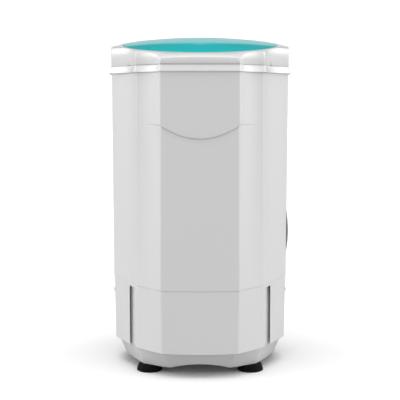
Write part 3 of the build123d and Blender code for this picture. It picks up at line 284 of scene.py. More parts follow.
def loft_rings(name, rings, closed=False, caps=False):
    """A skin through rings of the same length; closed joins the last ring to the first."""
    count = len(rings[0])
    faces = []
    pairs = len(rings) if closed else len(rings) - 1
    for row in range(pairs):
        low = row * count
        high = (row + 1) % len(rings) * count
        for column in range(count):
            following = (column + 1) % count
            faces.append((low + column, low + following, high + following, high + column))
    if caps:
        faces.append(tuple(range(count))[::-1])
        faces.append(tuple(range((len(rings) - 1) * count, len(rings) * count)))
    return add_piece(name, np.concatenate(rings), faces)


def double_wall(name, outer, inner, gaps=None):
    """A wall between matching outer and inner rings, with gaps where cells are left out."""
    rows, count = len(outer), len(outer[0])
    gaps = np.zeros((rows - 1, count), bool) if gaps is None else gaps
    shift = rows * count
    faces = []

    def strip(a, b):
        faces.append((a, b, b + shift, a + shift))

    for row in range(rows - 1):
        for column in range(count):
            following = (column + 1) % count
            corner = row * count
            if gaps[row, column]:
                continue
            quad = (corner + column, corner + following, corner + count + following, corner + count + column)
            faces.append(quad)
            faces.append(tuple(v + shift for v in reversed(quad)))
            if row == 0 or gaps[row - 1, column]:
                strip(corner + column, corner + following)
            if row == rows - 2 or gaps[row + 1, column]:
                strip(corner + count + following, corner + count + column)
            if gaps[row, column - 1]:
                strip(corner + count + column, corner + column)
            if gaps[row, following]:
                strip(corner + following, corner + count + following)
    piece = add_piece(name, np.concatenate((*outer, *inner)), faces)
    work = bmesh.new()
    work.from_mesh(piece.data)
    loose = [v for v in work.verts if not v.link_faces]
    bmesh.ops.delete(work, geom=loose, context="VERTS")
    work.to_mesh(piece.data)
    work.free()
    return piece


def box_mesh(name, low, high):
    """A box between two corners."""
    xs, ys, zs = zip(low, high)
    vertices = [(x, y, z) for z in zs for y in ys for x in xs]
    faces = [(0, 1, 3, 2), (4, 5, 7, 6), (0, 1, 5, 4), (2, 3, 7, 6), (0, 2, 6, 4), (1, 3, 7, 5)]
    return add_piece(name, vertices, faces)


def cut(piece, cutter):
    """Take a cutter out of a piece, and remove the cutter."""
    boolean = piece.modifiers.new("cut", "BOOLEAN")
    boolean.object = cutter
    boolean.operation = "DIFFERENCE"
    boolean.solver = "EXACT"
    apply_modifiers(piece)
    bpy.data.objects.remove(cutter)
    return piece


def lathe(name, profile, steps=144, closed=True):
    """A turned piece from (radius, height) points."""
    angles = np.arange(steps) * TURN / steps
    rings = [ring_points(angles, np.full(steps, r), z) for r, z in profile]
    return loft_rings(name, rings, closed=closed)


def dress(piece, finish):
    """Give a piece one material."""
    piece.data.materials.clear()
    piece.data.materials.append(finish)
    return piece


def place(piece, body, nodes, finish):
    """Finish, ride and stand for the CAD nodes."""
    dress(piece, finish)
    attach(piece, body)
    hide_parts(*nodes)
    return piece


# ---- Shader groups and finishes -------------------------------------------------------------
def shader_group(name, inputs, outputs):
    """An empty node group with named sockets: (name, kind, default) each."""
    tree = bpy.data.node_groups.new(name, "ShaderNodeTree")
    for label, kind, default in inputs:
        socket = tree.interface.new_socket(label, in_out="INPUT", socket_type=kind)
        socket.default_value = default
    for label, kind in outputs:
        tree.interface.new_socket(label, in_out="OUTPUT", socket_type=kind)
    return tree, tree.nodes.new("NodeGroupInput"), tree.nodes.new("NodeGroupOutput")


def noise(tree, vector, scale, detail=2.0):
    """A noise node at a fixed scale."""
    node = tree.nodes.new("ShaderNodeTexNoise")
    node.inputs["Scale"].default_value = scale
    node.inputs["Detail"].default_value = detail
    tree.links.new(vector, node.inputs["Vector"])
    return node.outputs["Fac"]


def spread(tree, value, amount, middle=0.0):
    """value from 0 to 1 becomes middle plus or minus amount."""
    centred = tree.nodes.new("ShaderNodeMath")
    centred.operation = "SUBTRACT"
    centred.inputs[1].default_value = 0.5
    tree.links.new(value, centred.inputs[0])
    scaled = tree.nodes.new("ShaderNodeMath")
    scaled.operation = "MULTIPLY_ADD"
    tree.links.new(centred.outputs[0], scaled.inputs[0])
    for socket, source in ((scaled.inputs[1], amount), (scaled.inputs[2], middle)):
        if isinstance(source, float):
            socket.default_value = source
        else:
            tree.links.new(source, socket)
    return scaled.outputs[0]


def tint(tree, colour, value):
    """Colour made lighter or darker by a value around zero."""
    shift = tree.nodes.new("ShaderNodeHueSaturation")
    lift = tree.nodes.new("ShaderNodeMath")
    lift.operation = "ADD"
    lift.inputs[1].default_value = 1.0
    tree.links.new(value, lift.inputs[0])
    tree.links.new(lift.outputs[0], shift.inputs["Value"])
    tree.links.new(colour, shift.inputs["Color"])
    return shift.outputs["Color"]


def moulded_skin():
    """Moulded plastic or rubber: slow tone drift, patchy gloss and a fine grain."""
    tree, given, made = shader_group(
        "moulded_skin",
        [("Colour", "NodeSocketColor", (0.8, 0.8, 0.8, 1)), ("Drift", "NodeSocketFloat", 0.02),
         ("Gloss", "NodeSocketFloat", 0.25), ("Patch", "NodeSocketFloat", 0.06),
         ("Grain", "NodeSocketFloat", 0.5)],
        [("Colour", "NodeSocketColor"), ("Roughness", "NodeSocketFloat"), ("Height", "NodeSocketFloat")])
    place_at = tree.nodes.new("ShaderNodeTexCoord").outputs["Object"]
    drift = spread(tree, noise(tree, place_at, 6.0), given.outputs["Drift"])
    tree.links.new(tint(tree, given.outputs["Colour"], drift), made.inputs["Colour"])
    patch = spread(tree, noise(tree, place_at, 38.0, 4.0), given.outputs["Patch"], given.outputs["Gloss"])
    tree.links.new(patch, made.inputs["Roughness"])
    grain = spread(tree, noise(tree, place_at, 900.0), given.outputs["Grain"])
    tree.links.new(grain, made.inputs["Height"])
    return tree


def drawn_metal():
    """Drawn, turned or rolled metal: fine lines along the working direction, and dull spots."""
    tree, given, made = shader_group(
        "drawn_metal",
        [("Colour", "NodeSocketColor", (0.6, 0.6, 0.6, 1)), ("Lines", "NodeSocketVector", (4, 4, 600)),
         ("Gloss", "NodeSocketFloat", 0.3), ("Patch", "NodeSocketFloat", 0.1)],
        [("Colour", "NodeSocketColor"), ("Roughness", "NodeSocketFloat"), ("Height", "NodeSocketFloat")])
    place_at = tree.nodes.new("ShaderNodeTexCoord").outputs["Object"]
    stretch = tree.nodes.new("ShaderNodeVectorMath")
    stretch.operation = "MULTIPLY"
    tree.links.new(place_at, stretch.inputs[0])
    tree.links.new(given.outputs["Lines"], stretch.inputs[1])
    lines = noise(tree, stretch.outputs[0], 1.0, 5.0)
    spots = noise(tree, place_at, 22.0, 5.0)
    tree.links.new(tint(tree, given.outputs["Colour"], spread(tree, lines, 0.16)), made.inputs["Colour"])
    both = spread(tree, spots, given.outputs["Patch"], given.outputs["Gloss"])
    tree.links.new(spread(tree, lines, 0.12, both), made.inputs["Roughness"])
    tree.links.new(lines, made.inputs["Height"])
    return tree


def finish_with(group, name, values, bump, **sockets):
    """A material whose Principled shader is fed by one group and has constants on its sockets."""
    material = bpy.data.materials.new(name)
    material.use_nodes = True
    tree = material.node_tree
    shader = tree.nodes["Principled BSDF"]
    skin = tree.nodes.new("ShaderNodeGroup")
    skin.node_tree = bpy.data.node_groups[group]
    for label, value in values.items():
        skin.inputs[label].default_value = value
    tree.links.new(skin.outputs["Colour"], shader.inputs["Base Color"])
    tree.links.new(skin.outputs["Roughness"], shader.inputs["Roughness"])
    relief = tree.nodes.new("ShaderNodeBump")
    relief.inputs["Strength"].default_value = bump
    relief.inputs["Distance"].default_value = 0.1 * MM
    tree.links.new(skin.outputs["Height"], relief.inputs["Height"])
    tree.links.new(relief.outputs["Normal"], shader.inputs["Normal"])
    for label, value in sockets.items():
        shader.inputs[label.replace("_", " ")].default_value = value
    material.diffuse_color = values["Colour"]
    return material


def plastic(name, colour, gloss, drift=0.015, patch=0.05, grain=0.5, bump=0.15, **sockets):
    """A moulded plastic or rubber finish."""
    values = {"Colour": colour, "Drift": drift, "Gloss": gloss, "Patch": patch, "Grain": grain}
    return finish_with("moulded_skin", name, values, bump, **sockets)


def metal(name, colour, gloss, lines=(4, 4, 600), patch=0.1, bump=0.2, **sockets):
    """A drawn, rolled or turned metal finish."""
    values = {"Colour": colour, "Lines": lines, "Gloss": gloss, "Patch": patch}
    return finish_with("drawn_metal", name, values, bump, Metallic=1.0, **sockets)


def make_finishes(colours):
    """Every finish of the machine, under its slot's name."""
    return {
        "white_gloss": plastic("casing_white", colours.casing, 0.22, Coat_Weight=0.35, Coat_Roughness=0.08),
        "white_plain": plastic("plain_white", (0.74, 0.75, 0.75, 1), 0.45, drift=0.03),
        "lid_teal": plastic("lid_teal", colours.lid, 0.10, patch=0.03, grain=0.2, bump=0.05,
                            Transmission_Weight=0.12, IOR=1.45, Coat_Weight=0.0),
        "black_rubber": plastic("foot_rubber", colours.rubber, 0.7, drift=0.25, patch=0.15, grain=1.0, bump=0.5,
                                Specular_IOR_Level=0.12),
        "grey_rubber": plastic("seal_rubber", (0.10, 0.105, 0.11, 1), 0.6, drift=0.2, grain=1.0, bump=0.4),
        "hose_grey": plastic("hose_grey", colours.hose, 0.42, drift=0.12, patch=0.12, bump=0.3),
        "switch_black": plastic("switch_black", (0.02, 0.02, 0.021, 1), 0.5, drift=0.2, grain=0.9, bump=0.4),
        "brake_lining": plastic("brake_lining", (0.075, 0.06, 0.05, 1), 0.85, drift=0.5, patch=0.1,
                                grain=2.0, bump=0.9),
        "bright_steel": metal("basket_steel", (0.68, 0.69, 0.70, 1), 0.24),
        "shaft_steel": metal("turned_steel", (0.58, 0.58, 0.60, 1), 0.22),
        "zinc_steel": metal("zinc_plate", (0.62, 0.63, 0.61, 1), 0.38, lines=(30, 240, 30), patch=0.2),
        "spring_steel": metal("spring_wire", (0.16, 0.16, 0.17, 1), 0.35, lines=(90, 90, 90)),
        "iron": metal("drum_iron", (0.20, 0.20, 0.21, 1), 0.48, patch=0.2, bump=0.4),
        "lamination": metal("core_plates", (0.33, 0.34, 0.36, 1), 0.4, lines=(2, 2, 2600), bump=0.6),
        "copper": metal("winding_copper", (0.72, 0.30, 0.13, 1), 0.3, lines=(900, 900, 900), bump=0.8),
        "capacitor_grey": metal("capacitor_can", (0.66, 0.67, 0.69, 1), 0.3),
        "motor_black": plastic("motor_enamel", (0.022, 0.022, 0.024, 1), 0.34, drift=0.15, patch=0.12,
                               grain=1.2, bump=0.35, Coat_Weight=0.4, Coat_Roughness=0.2),
    }


finishes = {}


# ---- Casing pieces --------------------------------------------------------------------------
def body_table(softness):
    """Plans of the body from the hem to the collar."""
    return PlanTable([(HEM_Z, HEM_PLAN), (SEAM_Z, SEAM_PLAN), (PLAN_TOP_Z, TOP_PLAN)], softness)


FLUTE_DROOP = 8 * MM


def build_cabinet(sizes):
    """Cabinet wall with its fading flutes and the raised apron on the front."""
    table = body_table(sizes.corner_softness)
    angles = column_angles()
    off_front = np.degrees(np.abs((angles - 1.5 * math.pi + math.pi) % TURN - math.pi))
    panel_edge, flute_edge = 23.6, 46.2
    fade = np.clip((flute_edge - off_front) / (flute_edge - panel_edge), 0, 1)
    fade = fade * fade * (3 - 2 * fade)
    edge_r = table.radius(angles, np.full(len(angles), sizes.apron_edge))
    half_panel = 77.5 * MM
    across = np.clip(np.abs(edge_r * np.cos(angles)) / half_panel, 0, 1)
    droop = FLUTE_DROOP * np.clip((off_front - panel_edge) / (flute_edge - panel_edge), 0, 1)
    dip = np.where(off_front < 60, sizes.apron_dip * (1 - across ** 2) + droop, 0)
    edge = sizes.apron_edge
    # height, share of the dip, share of the step, inset of a rounded rim
    rows = [
        (SEAM_Z + 0.3 * MM, 0, 0, 0.7 * MM), (SEAM_Z + 0.5 * MM, 0, 0, 0.25 * MM), (SEAM_Z + 1 * MM, 0, 0, 0),
        (SEAM_Z + 1.6 * MM, 0, 0, 0), (SEAM_Z + 20 * MM, 0, 0, 0), (250 * MM, 0, 0, 0), (320 * MM, 0, 0, 0), (390 * MM, 0, 0, 0),
        (440 * MM, 0.4, 0, 0), (475 * MM, 0.8, 0, 0), (edge - 12 * MM, 1, 0, 0), (edge - 3 * MM, 1, 0, 0),
        (edge - 1.9 * MM, 1, 0, 0), (edge - 1.7 * MM, 1, -0.1, 0), (edge - 1.5 * MM, 1, -0.44, 0),
        (edge - 0.2 * MM, 1, -0.44, 0), (edge, 1, 0.5, 0), (edge + 0.2 * MM, 1, 0.85, 0),
        (edge + 0.7 * MM, 1, 0.97, 0), (edge + 1.3 * MM, 1, 1, 0), (edge + 6 * MM, 1, 1, 0),
        (530 * MM, 0.75, 1, 0), (552 * MM, 0.3, 1, 0), (574 * MM, 0, 1, 0),
    ]
    outer, inner = [], []
    for base, dip_share, step_share, inset in rows:
        heights = base - dip * dip_share
        radii = table.radius(angles, heights)
        outer.append(ring_points(angles, radii + fade * step_share * sizes.apron_step - inset, heights))
        inner.append(ring_points(angles, radii - WALL, heights))
    for share in (0.5, 1.0):
        radii = table.radius(angles, np.full(len(angles), 600 * MM))
        top = tilted(COLLAR_HIGH_Z - 0.5 * MM, angles, radii)
        heights = 574 * MM + (top - 574 * MM) * share
        radii = table.radius(angles, heights)
        outer.append(ring_points(angles, radii + fade * sizes.apron_step, heights))
        inner.append(ring_points(angles, radii - WALL, heights))
    piece = double_wall("cabinet_wall", outer, inner)
    shade(piece, 50)
    return place(piece, "cabinet", ["cabinet_shell"], finishes["white_gloss"])


def build_collar(sizes):
    """Flared band over the joint of the cabinet and the top cover."""
    angles = column_angles()
    cap = plan_radii(CAP_PLAN, sizes.corner_softness)
    radii = np.interp(angles, fine_angles, cap, period=TURN)
    side = CAP_PLAN[0][2][0] * MM
    flare = radii * sizes.collar_flare / side
    body = body_table(sizes.corner_softness)
    back = body.radius(angles, np.full(len(angles), 600 * MM)) + 0.2 * MM
    apron_room = sizes.apron_step * (np.abs((angles - 1.5 * math.pi + math.pi) % TURN - math.pi) < 0.87)
    hidden = np.minimum(back + apron_room, radii - 0.4 * MM)
    profile = [
        (radii - 0.5 * MM, COLLAR_HIGH_Z - 0.3 * MM),
        (radii + flare * 0.02, COLLAR_HIGH_Z - 0.8 * MM),
        (radii + flare * 0.30, COLLAR_HIGH_Z - 5 * MM),
        (radii + flare * 0.72, COLLAR_LOW_Z + 4.5 * MM),
        (radii + flare, COLLAR_LOW_Z + 1.6 * MM),
        (radii + flare, COLLAR_LOW_Z + 0.8 * MM),
        (radii + flare - 0.8 * MM, COLLAR_LOW_Z + 0.05 * MM),
        (hidden, COLLAR_LOW_Z + 0.05 * MM),
        (hidden, COLLAR_HIGH_Z - 0.3 * MM),
    ]
    lean = 1 / math.hypot(1, COLLAR_TILT)
    rings = [ring_points(angles, r, tilted(z, angles, r * lean)) * (1, lean, 1) for r, z in profile]
    piece = shade(loft_rings("collar_band", rings, closed=True), 40)
    return place(piece, "cabinet", ["collar_ring"], finishes["white_gloss"])


def deck_height(radii):
    """Height of the sloping deck."""
    return DECK_Z - DECK_SLOPE * (radii - DECK_INNER_R)


BAY_X, BAY_FRONT_Y, BAY_BACK_Y, BAY_FLOOR_Z = 62 * MM, 138 * MM, 174 * MM, 640 * MM
HINGE_X, HINGE_Y, HINGE_Z = 45 * MM, 166 * MM, 648.5 * MM
WINDOW_X, WINDOW_Y = 141.3 * MM, 81 * MM
WINDOW_TURN = math.atan2(0.483, 0.876)
CLIP_DEPTH, CLIP_THICKNESS, CLIP_HALF_WIDTH, CLIP_HALF_HEIGHT = 5.2 * MM, 2.5 * MM, 3.5 * MM, 12 * MM
TUB_R = 146 * MM
TUB_TOP_Z = 600 * MM


def build_cover(sizes):
    """Top cover: outer wall, sloping deck and the lip down round the lid's opening, cut for the hinge bay and the clip
    windows.
    """
    angles = column_angles()
    cap = np.interp(angles, fine_angles, plan_radii(CAP_PLAN, sizes.corner_softness), period=TURN)
    flat = np.ones(len(angles))
    foot = tilted(COLLAR_HIGH_Z, angles, cap)
    seat_low = SEAT_Z - WALL
    lip_r = DECK_INNER_R + WALL
    profile = [
        (cap, foot), (cap, (foot + deck_height(cap)) / 2), (cap, deck_height(cap)),
        ((cap + DECK_INNER_R) / 2, deck_height((cap + DECK_INNER_R) / 2)),
        (DECK_INNER_R * flat, DECK_Z * flat), (DECK_INNER_R * flat, seat_low * flat),
        (lip_r * flat, seat_low * flat), (lip_r * flat, deck_height(lip_r * flat) - 5 * MM),
        (cap - WALL, deck_height(cap) - 5 * MM), (cap - WALL, foot),
    ]
    rings = [ring_points(angles, r, z) for r, z in profile]
    piece = loft_rings("top_casing", rings, closed=True)
    cut(piece, box_mesh("bay_cutter", (-BAY_X, BAY_FRONT_Y, BAY_FLOOR_Z), (BAY_X, BAY_BACK_Y, 0.7)))
    for side in (-1, 1):
        for end in (-1, 1):
            base = COLLAR_HIGH_Z - COLLAR_TILT * end * WINDOW_Y - 1 * MM
            cutter = box_mesh("window_cutter", (-6 * MM, -4.5 * MM, 0), (6 * MM, 4.5 * MM, 4.8 * MM))
            turn = WINDOW_TURN * side * end
            cutter.data.transform(Matrix.Translation((side * WINDOW_X, end * WINDOW_Y, base))
                                  @ Matrix.Rotation(turn, 4, "Z"))
            cut(piece, cutter)
    soften(piece, sizes.edge_round, 38, 2)
    return place(piece, "cabinet", ["top_cover"], finishes["white_gloss"])


def build_clips():
    """Four snap clips inside the casing, each with a hook into its window."""
    clips = []
    for side in (-1, 1):
        for end in (-1, 1):
            height = COLLAR_HIGH_Z - 0.4 * MM - COLLAR_TILT * end * WINDOW_Y
            to_window = (Matrix.Translation((side * WINDOW_X, end * WINDOW_Y, height))
                         @ Matrix.Rotation(WINDOW_TURN * side * end, 4, "Z"))
            for depths, low, high in (((CLIP_DEPTH, CLIP_DEPTH + CLIP_THICKNESS), -CLIP_HALF_HEIGHT, CLIP_HALF_HEIGHT),
                                      ((0.6 * MM, CLIP_DEPTH), 1.2 * MM, 3.6 * MM)):
                near, far = sorted(-side * depth for depth in depths)
                block = box_mesh("clip", (near, -CLIP_HALF_WIDTH, low), (far, CLIP_HALF_WIDTH, high))
                block.data.transform(to_window)
                clips.append(block)
    piece = shade(join(clips, "snap_clips"), 30)
    return place(piece, "cabinet", ["cover_clips"], finishes["white_plain"])


def build_tub_cover(sizes):
    """Ring under the lid: the lid's seat, the throat and the rib over the tub's rim."""
    seat_low = SEAT_Z - WALL
    outer_r = DECK_INNER_R - 0.1 * MM
    profile = [(THROAT_R, 596 * MM), (THROAT_R, SEAT_Z), (outer_r, SEAT_Z), (outer_r, seat_low),
               (TUB_R + WALL, seat_low), (TUB_R + WALL, 603 * MM), (TUB_R, 603 * MM), (TUB_R, seat_low),
               (THROAT_R + WALL, seat_low), (THROAT_R + WALL, 596 * MM)]
    piece = lathe("lid_seat", profile, 192)
    gap = WALL + 0.1 * MM
    cut(piece, box_mesh("bay_cutter", (-BAY_X - gap, BAY_FRONT_Y - gap, BAY_FLOOR_Z - gap),
                        (BAY_X + gap, BAY_BACK_Y + 20 * MM, 0.7)))
    cut(piece, cylinder_between("plunger_cutter", (TAB_X, TAB_Y, 0.63), (TAB_X, TAB_Y, 0.66), 4 * MM))
    soften(piece, sizes.edge_round, 50, 2)
    return place(piece, "cabinet", ["tub_cover"], finishes["white_gloss"])


def side_profile(name, outline, x_low, x_high, bore=None):
    """A piece cut from plate: an outline in the Y-Z plane given width along X, with a bore."""
    count = len(outline)
    vertices = [(x, y, z) for x in (x_low, x_high) for y, z in outline]
    faces = [tuple(range(count)), tuple(range(count, 2 * count))]
    faces += [(i, (i + 1) % count, count + (i + 1) % count, count + i) for i in range(count)]
    piece = add_piece(name, vertices, faces)
    if bore:
        centre_y, centre_z, radius = bore
        turn = np.arange(32) * TURN / 32
        rings = [
            np.stack((np.full(32, x), centre_y + radius * np.cos(turn), centre_z + radius * np.sin(turn)), axis=1)
            for x in (x_low - MM, x_high + MM)
        ]
        cut(piece, loft_rings("bore_cutter", rings, caps=True))
    return piece


def barrel_outline(extra, radius):
    """Outline round a hinge barrel that also takes in extra points, by their hull."""
    points = [(HINGE_Y + radius * math.cos(a), HINGE_Z + radius * math.sin(a))
              for a in np.arange(0, TURN, TURN / 36)] + list(extra)
    points = sorted(set(points))

    def chain(ordered):
        kept = []
        for y, z in ordered:
            while len(kept) > 1 and (
                (kept[-1][0] - kept[-2][0]) * (z - kept[-2][1])
                - (kept[-1][1] - kept[-2][1]) * (y - kept[-2][0]) <= 0
            ):
                kept.pop()
            kept.append((y, z))
        return kept[:-1]

    return chain(points) + chain(reversed(points))


def join(pieces, name):
    """One object from several."""
    work = bmesh.new()
    for piece in pieces:
        work.from_mesh(piece.data)
        bpy.data.objects.remove(piece)
    mesh = bpy.data.meshes.new(name)
    work.to_mesh(mesh)
    work.free()
    joined = bpy.data.objects.new(name, mesh)
    bpy.context.scene.collection.objects.link(joined)
    return joined


def build_hinge_bay(sizes):
    """Tray under the back of the lid, with the lugs that hold the hinge pins."""
    tray = box_mesh("tray", (-BAY_X - WALL, BAY_FRONT_Y - WALL, BAY_FLOOR_Z - WALL),
                    (BAY_X + WALL, BAY_BACK_Y + WALL, SEAT_Z - 0.4 * MM))
    cut(tray, box_mesh("tray_cutter", (-BAY_X, BAY_FRONT_Y, BAY_FLOOR_Z), (BAY_X, BAY_BACK_Y, 0.7)))
    parts = [tray]
    for side in (-1, 1):
        for edge in (-1, 1):
            middle = side * HINGE_X + edge * 12.5 * MM
            foot = [(HINGE_Y - 4.5 * MM, BAY_FLOOR_Z - 0.5 * MM), (HINGE_Y + 4.5 * MM, BAY_FLOOR_Z - 0.5 * MM)]
            parts.append(side_profile("lug", barrel_outline(foot, 4.5 * MM), middle - 1.5 * MM,
                                      middle + 1.5 * MM, (HINGE_Y, HINGE_Z, 2.5 * MM)))
    piece = join(parts, "hinge_bay")
    soften(piece, 0.4 * MM, 50, 2)
    dress(piece, finishes["white_gloss"])
    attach(piece, "cabinet")
    return piece


# ---- Lid ------------------------------------------------------------------------------------
LID_R = 156 * MM
LID_RIM_Z = 654.6 * MM
LID_APEX_Z = 666 * MM
LID_FLOOR_Z = 648 * MM
LID_WALL = 2.5 * MM
LID_RISE = LID_APEX_Z - LID_RIM_Z
DOME_R = (LID_R ** 2 + LID_RISE ** 2) / (2 * LID_RISE)
BARREL_R = 4.5 * MM
BARREL_WIDTH = 18 * MM
PIN_BORE_R = 2.55 * MM
TAB_SIZE = 12 * MM
TAB_X, TAB_Y = -93 * MM, 93 * MM


def dome_height(radius, depth=0.0):
    """Height of the lid's dome at a radius, at a depth under its outer face."""
    return LID_APEX_Z - DOME_R + math.sqrt((DOME_R - depth) ** 2 - radius ** 2)


def build_lid():
    """Dished see-through lid with a rolled rim, hinge barrels and a tab for the switch."""
    rim = 1.5 * MM
    profile = [(r * MM, dome_height(r * MM)) for r in (4, 20, 40, 60, 80, 100, 120, 135, 145, 151)]
    edge_z = dome_height(LID_R - rim)
    profile += [(LID_R - rim + rim * math.sin(a), edge_z - rim + rim * math.cos(a))
                for a in np.radians((0, 18, 36, 54, 72, 90))]
    profile += [(LID_R, LID_FLOOR_Z + 0.4 * MM), (LID_R - 0.4 * MM, LID_FLOOR_Z),
                (LID_R - LID_WALL + 0.4 * MM, LID_FLOOR_Z), (LID_R - LID_WALL, LID_FLOOR_Z + 0.4 * MM),
                (LID_R - LID_WALL, dome_height(LID_R - LID_WALL, LID_WALL) - 1 * MM)]
    profile += [(r * MM, dome_height(r * MM, LID_WALL)) for r in (152.5, 145, 120, 100, 80, 60, 40, 20, 4)]
    steps = 192
    angles = np.arange(steps) * TURN / steps
    rings = [ring_points(angles, np.full(steps, r), z) for r, z in profile]
    dome = loft_rings("dome", rings, caps=True)
    tab_top = dome_height(math.hypot(TAB_X, TAB_Y), LID_WALL) + 0.5 * MM
    half = TAB_SIZE / 2
    parts = [dome, soften(box_mesh("tab", (TAB_X - half, TAB_Y - half, LID_FLOOR_Z),
                                   (TAB_X + half, TAB_Y + half, tab_top)), 0.4 * MM)]
    reach = [(140 * MM, LID_FLOOR_Z + 1.5 * MM), (154 * MM, LID_RIM_Z - 1.5 * MM),
             (140 * MM, LID_RIM_Z - 0.5 * MM)]
    for side in (-1, 1):
        arm = side_profile("arm", barrel_outline(reach, BARREL_R), side * HINGE_X - BARREL_WIDTH / 2,
                           side * HINGE_X + BARREL_WIDTH / 2, (HINGE_Y, HINGE_Z, PIN_BORE_R))
        parts.append(soften(arm, 0.4 * MM, 50, 2))
    piece = shade(join(parts, "lid"), 45)
    return place(piece, "lid", ["lid_panel"], finishes["lid_teal"])


def build_grip():
    """Low finger bar on the lid, with round ends and a soft top edge."""
    length, width, grip_y = 66 * MM, 5 * MM, -57 * MM
    turn = np.concatenate((np.linspace(-90, 90, 13), np.linspace(90, 270, 13)))
    cos, sin = np.cos(np.radians(turn)), np.sin(np.radians(turn))
    end = np.where(np.arange(26) < 13, 1, -1) * (length - width) / 2
    rings = []
    for inset, lift in ((0, -0.4), (0, 0.3), (0.15, 0.55), (0.5, 0.75), (1.2, 0.85)):
        half = width / 2 - inset * MM
        x, y = end + half * cos, grip_y + half * sin
        z = np.array([dome_height(math.hypot(a, b)) for a, b in zip(x, y)]) + lift * MM
        rings.append(np.stack((x, y, z), axis=1))
    piece = shade(loft_rings("finger_bar", rings, caps=True), 60)
    return place(piece, "lid", ["lid_grip"], finishes["lid_teal"])


def build_lid_gasket():
    """Soft ring under the lid, round below."""
    inner, outer, low = 119 * MM, 122.5 * MM, 647.45 * MM
    top = dome_height(outer, LID_WALL) - 0.1 * MM
    middle, half = (inner + outer) / 2, (outer - inner) / 2
    profile = [(middle + half * math.cos(a), low + half + half * math.sin(a))
               for a in np.radians(np.arange(180, 361, 20))]
    profile += [(outer, top), (inner, top)]
    piece = shade(lathe("lid_seal", profile), 60)
    return place(piece, "lid", ["lid_gasket"], finishes["grey_rubber"])


# ---- Lower body -----------------------------------------------------------------------------
SLOT_X, SLOT_HALF, SLOT_TOP_Z = 138 * MM, 5.2 * MM, 174 * MM
SLOT_NEAR_Y, SLOT_FAR_Y = 50 * MM, 150 * MM
ELBOW_Y, ELBOW_X, ELBOW_RUN_Z, ELBOW_HOLE_R = 86 * MM, 163 * MM, 118 * MM, 12.5 * MM
GLAND_X, GLAND_Z, GLAND_HOLE_R = -60 * MM, 100 * MM, 7.1 * MM


def cylinder_between(name, start, end, radius, steps=48):
    """A round cutter between two points."""
    start, end = Vector(start), Vector(end)
    frame_turn = (end - start).to_track_quat("Z", "Y").to_matrix()
    turn = np.arange(steps) * TURN / steps
    rings = []
    for centre in (start, end):
        points = [centre + frame_turn @ Vector((radius * math.cos(a), radius * math.sin(a), 0)) for a in turn]
        rings.append(np.array([tuple(p) for p in points]))
    return loft_rings(name, rings, caps=True)


def build_skirt(sizes):
    """Lower casing with four upright vents, a rolled hem and a rounded top edge."""
    drop = 0.8 * MM
    table = PlanTable([(HEM_Z, HEM_PLAN), (SEAM_Z, SEAM_PLAN)], sizes.corner_softness)
    angles = column_angles()
    rows = [(HEM_Z, 0.7), (HEM_Z + 0.25 * MM, 0.25), (HEM_Z + 0.8 * MM, 0), (HEM_Z + 1.4 * MM, 0),
            (80 * MM, 0), (110 * MM, 0), (140 * MM, 0), (160 * MM, 0), (SEAM_Z - 1.4 * MM, 0),
            (SEAM_Z - 0.8 * MM, 0), (SEAM_Z - 0.3 * MM, 0.2), (SEAM_Z - 0.1 * MM, 0.6)]
    outer, inner = [], []
    for height, inset in rows:
        heights = np.full(len(angles), height)
        share = (height - HEM_Z) / (SEAM_Z - HEM_Z)
        radii = table.radius(angles, heights) - drop * share
        outer.append(ring_points(angles, radii - inset * MM, heights))
        inner.append(ring_points(angles, radii - WALL, heights))
    piece = double_wall("lower_casing", outer, inner)
    for side in (-1, 1):
        for end in (-1, 1):
            near, far = sorted((end * SLOT_NEAR_Y, end * SLOT_FAR_Y))
            cut(piece, box_mesh("vent_cutter", (side * SLOT_X - SLOT_HALF, near, HEM_Z - 5 * MM),
                                (side * SLOT_X + SLOT_HALF, far, SLOT_TOP_Z)))
    inward = Vector((104, 76, 0)) - Vector((163, 86, 0))
    reach = inward.normalized() * 40 * MM
    start = Vector((ELBOW_X, ELBOW_Y, ELBOW_RUN_Z))
    cut(piece, cylinder_between("elbow_cutter", start - reach, start + reach * 0.9, ELBOW_HOLE_R))
    cut(piece, cylinder_between("gland_cutter", (GLAND_X, 0.15, GLAND_Z), (GLAND_X, 0.19, GLAND_Z), GLAND_HOLE_R))
    shade(piece, 45)
    return place(piece, "cabinet", ["skirt"], finishes["white_gloss"])


def build_skirt_screws():
    """Low-headed screws that hold the skirt to the plinth sleeve, two at each side."""
    profile = [(2, 154.6), (2, 177), (4, 177), (3.9, 177.5), (3.2, 177.9), (1.6, 178.05)]
    angles = np.arange(32) * TURN / 32
    screws = []
    for side in (-1, 1):
        for y in (-18, 18):
            rings = [ring_points(angles, np.full(32, float(r)), z) for r, z in profile]
            screw = loft_rings("screw", rings, caps=True)
            turn = Matrix.Rotation(side * math.pi / 2, 4, "Y")
            screw.data.transform(Matrix.Translation((0, y * MM, 150 * MM)) @ turn @ Matrix.Scale(MM, 4))
            screws.append(screw)
    piece = shade(join(screws, "casing_screws"), 40)
    return place(piece, "cabinet", ["skirt_screws"], finishes["zinc_steel"])


PLINTH_LOW_Z = 14 * MM
SLEEVE_TOP_Z = 172 * MM
ARCH_HALF, ARCH_RISE = 60 * MM, 11 * MM


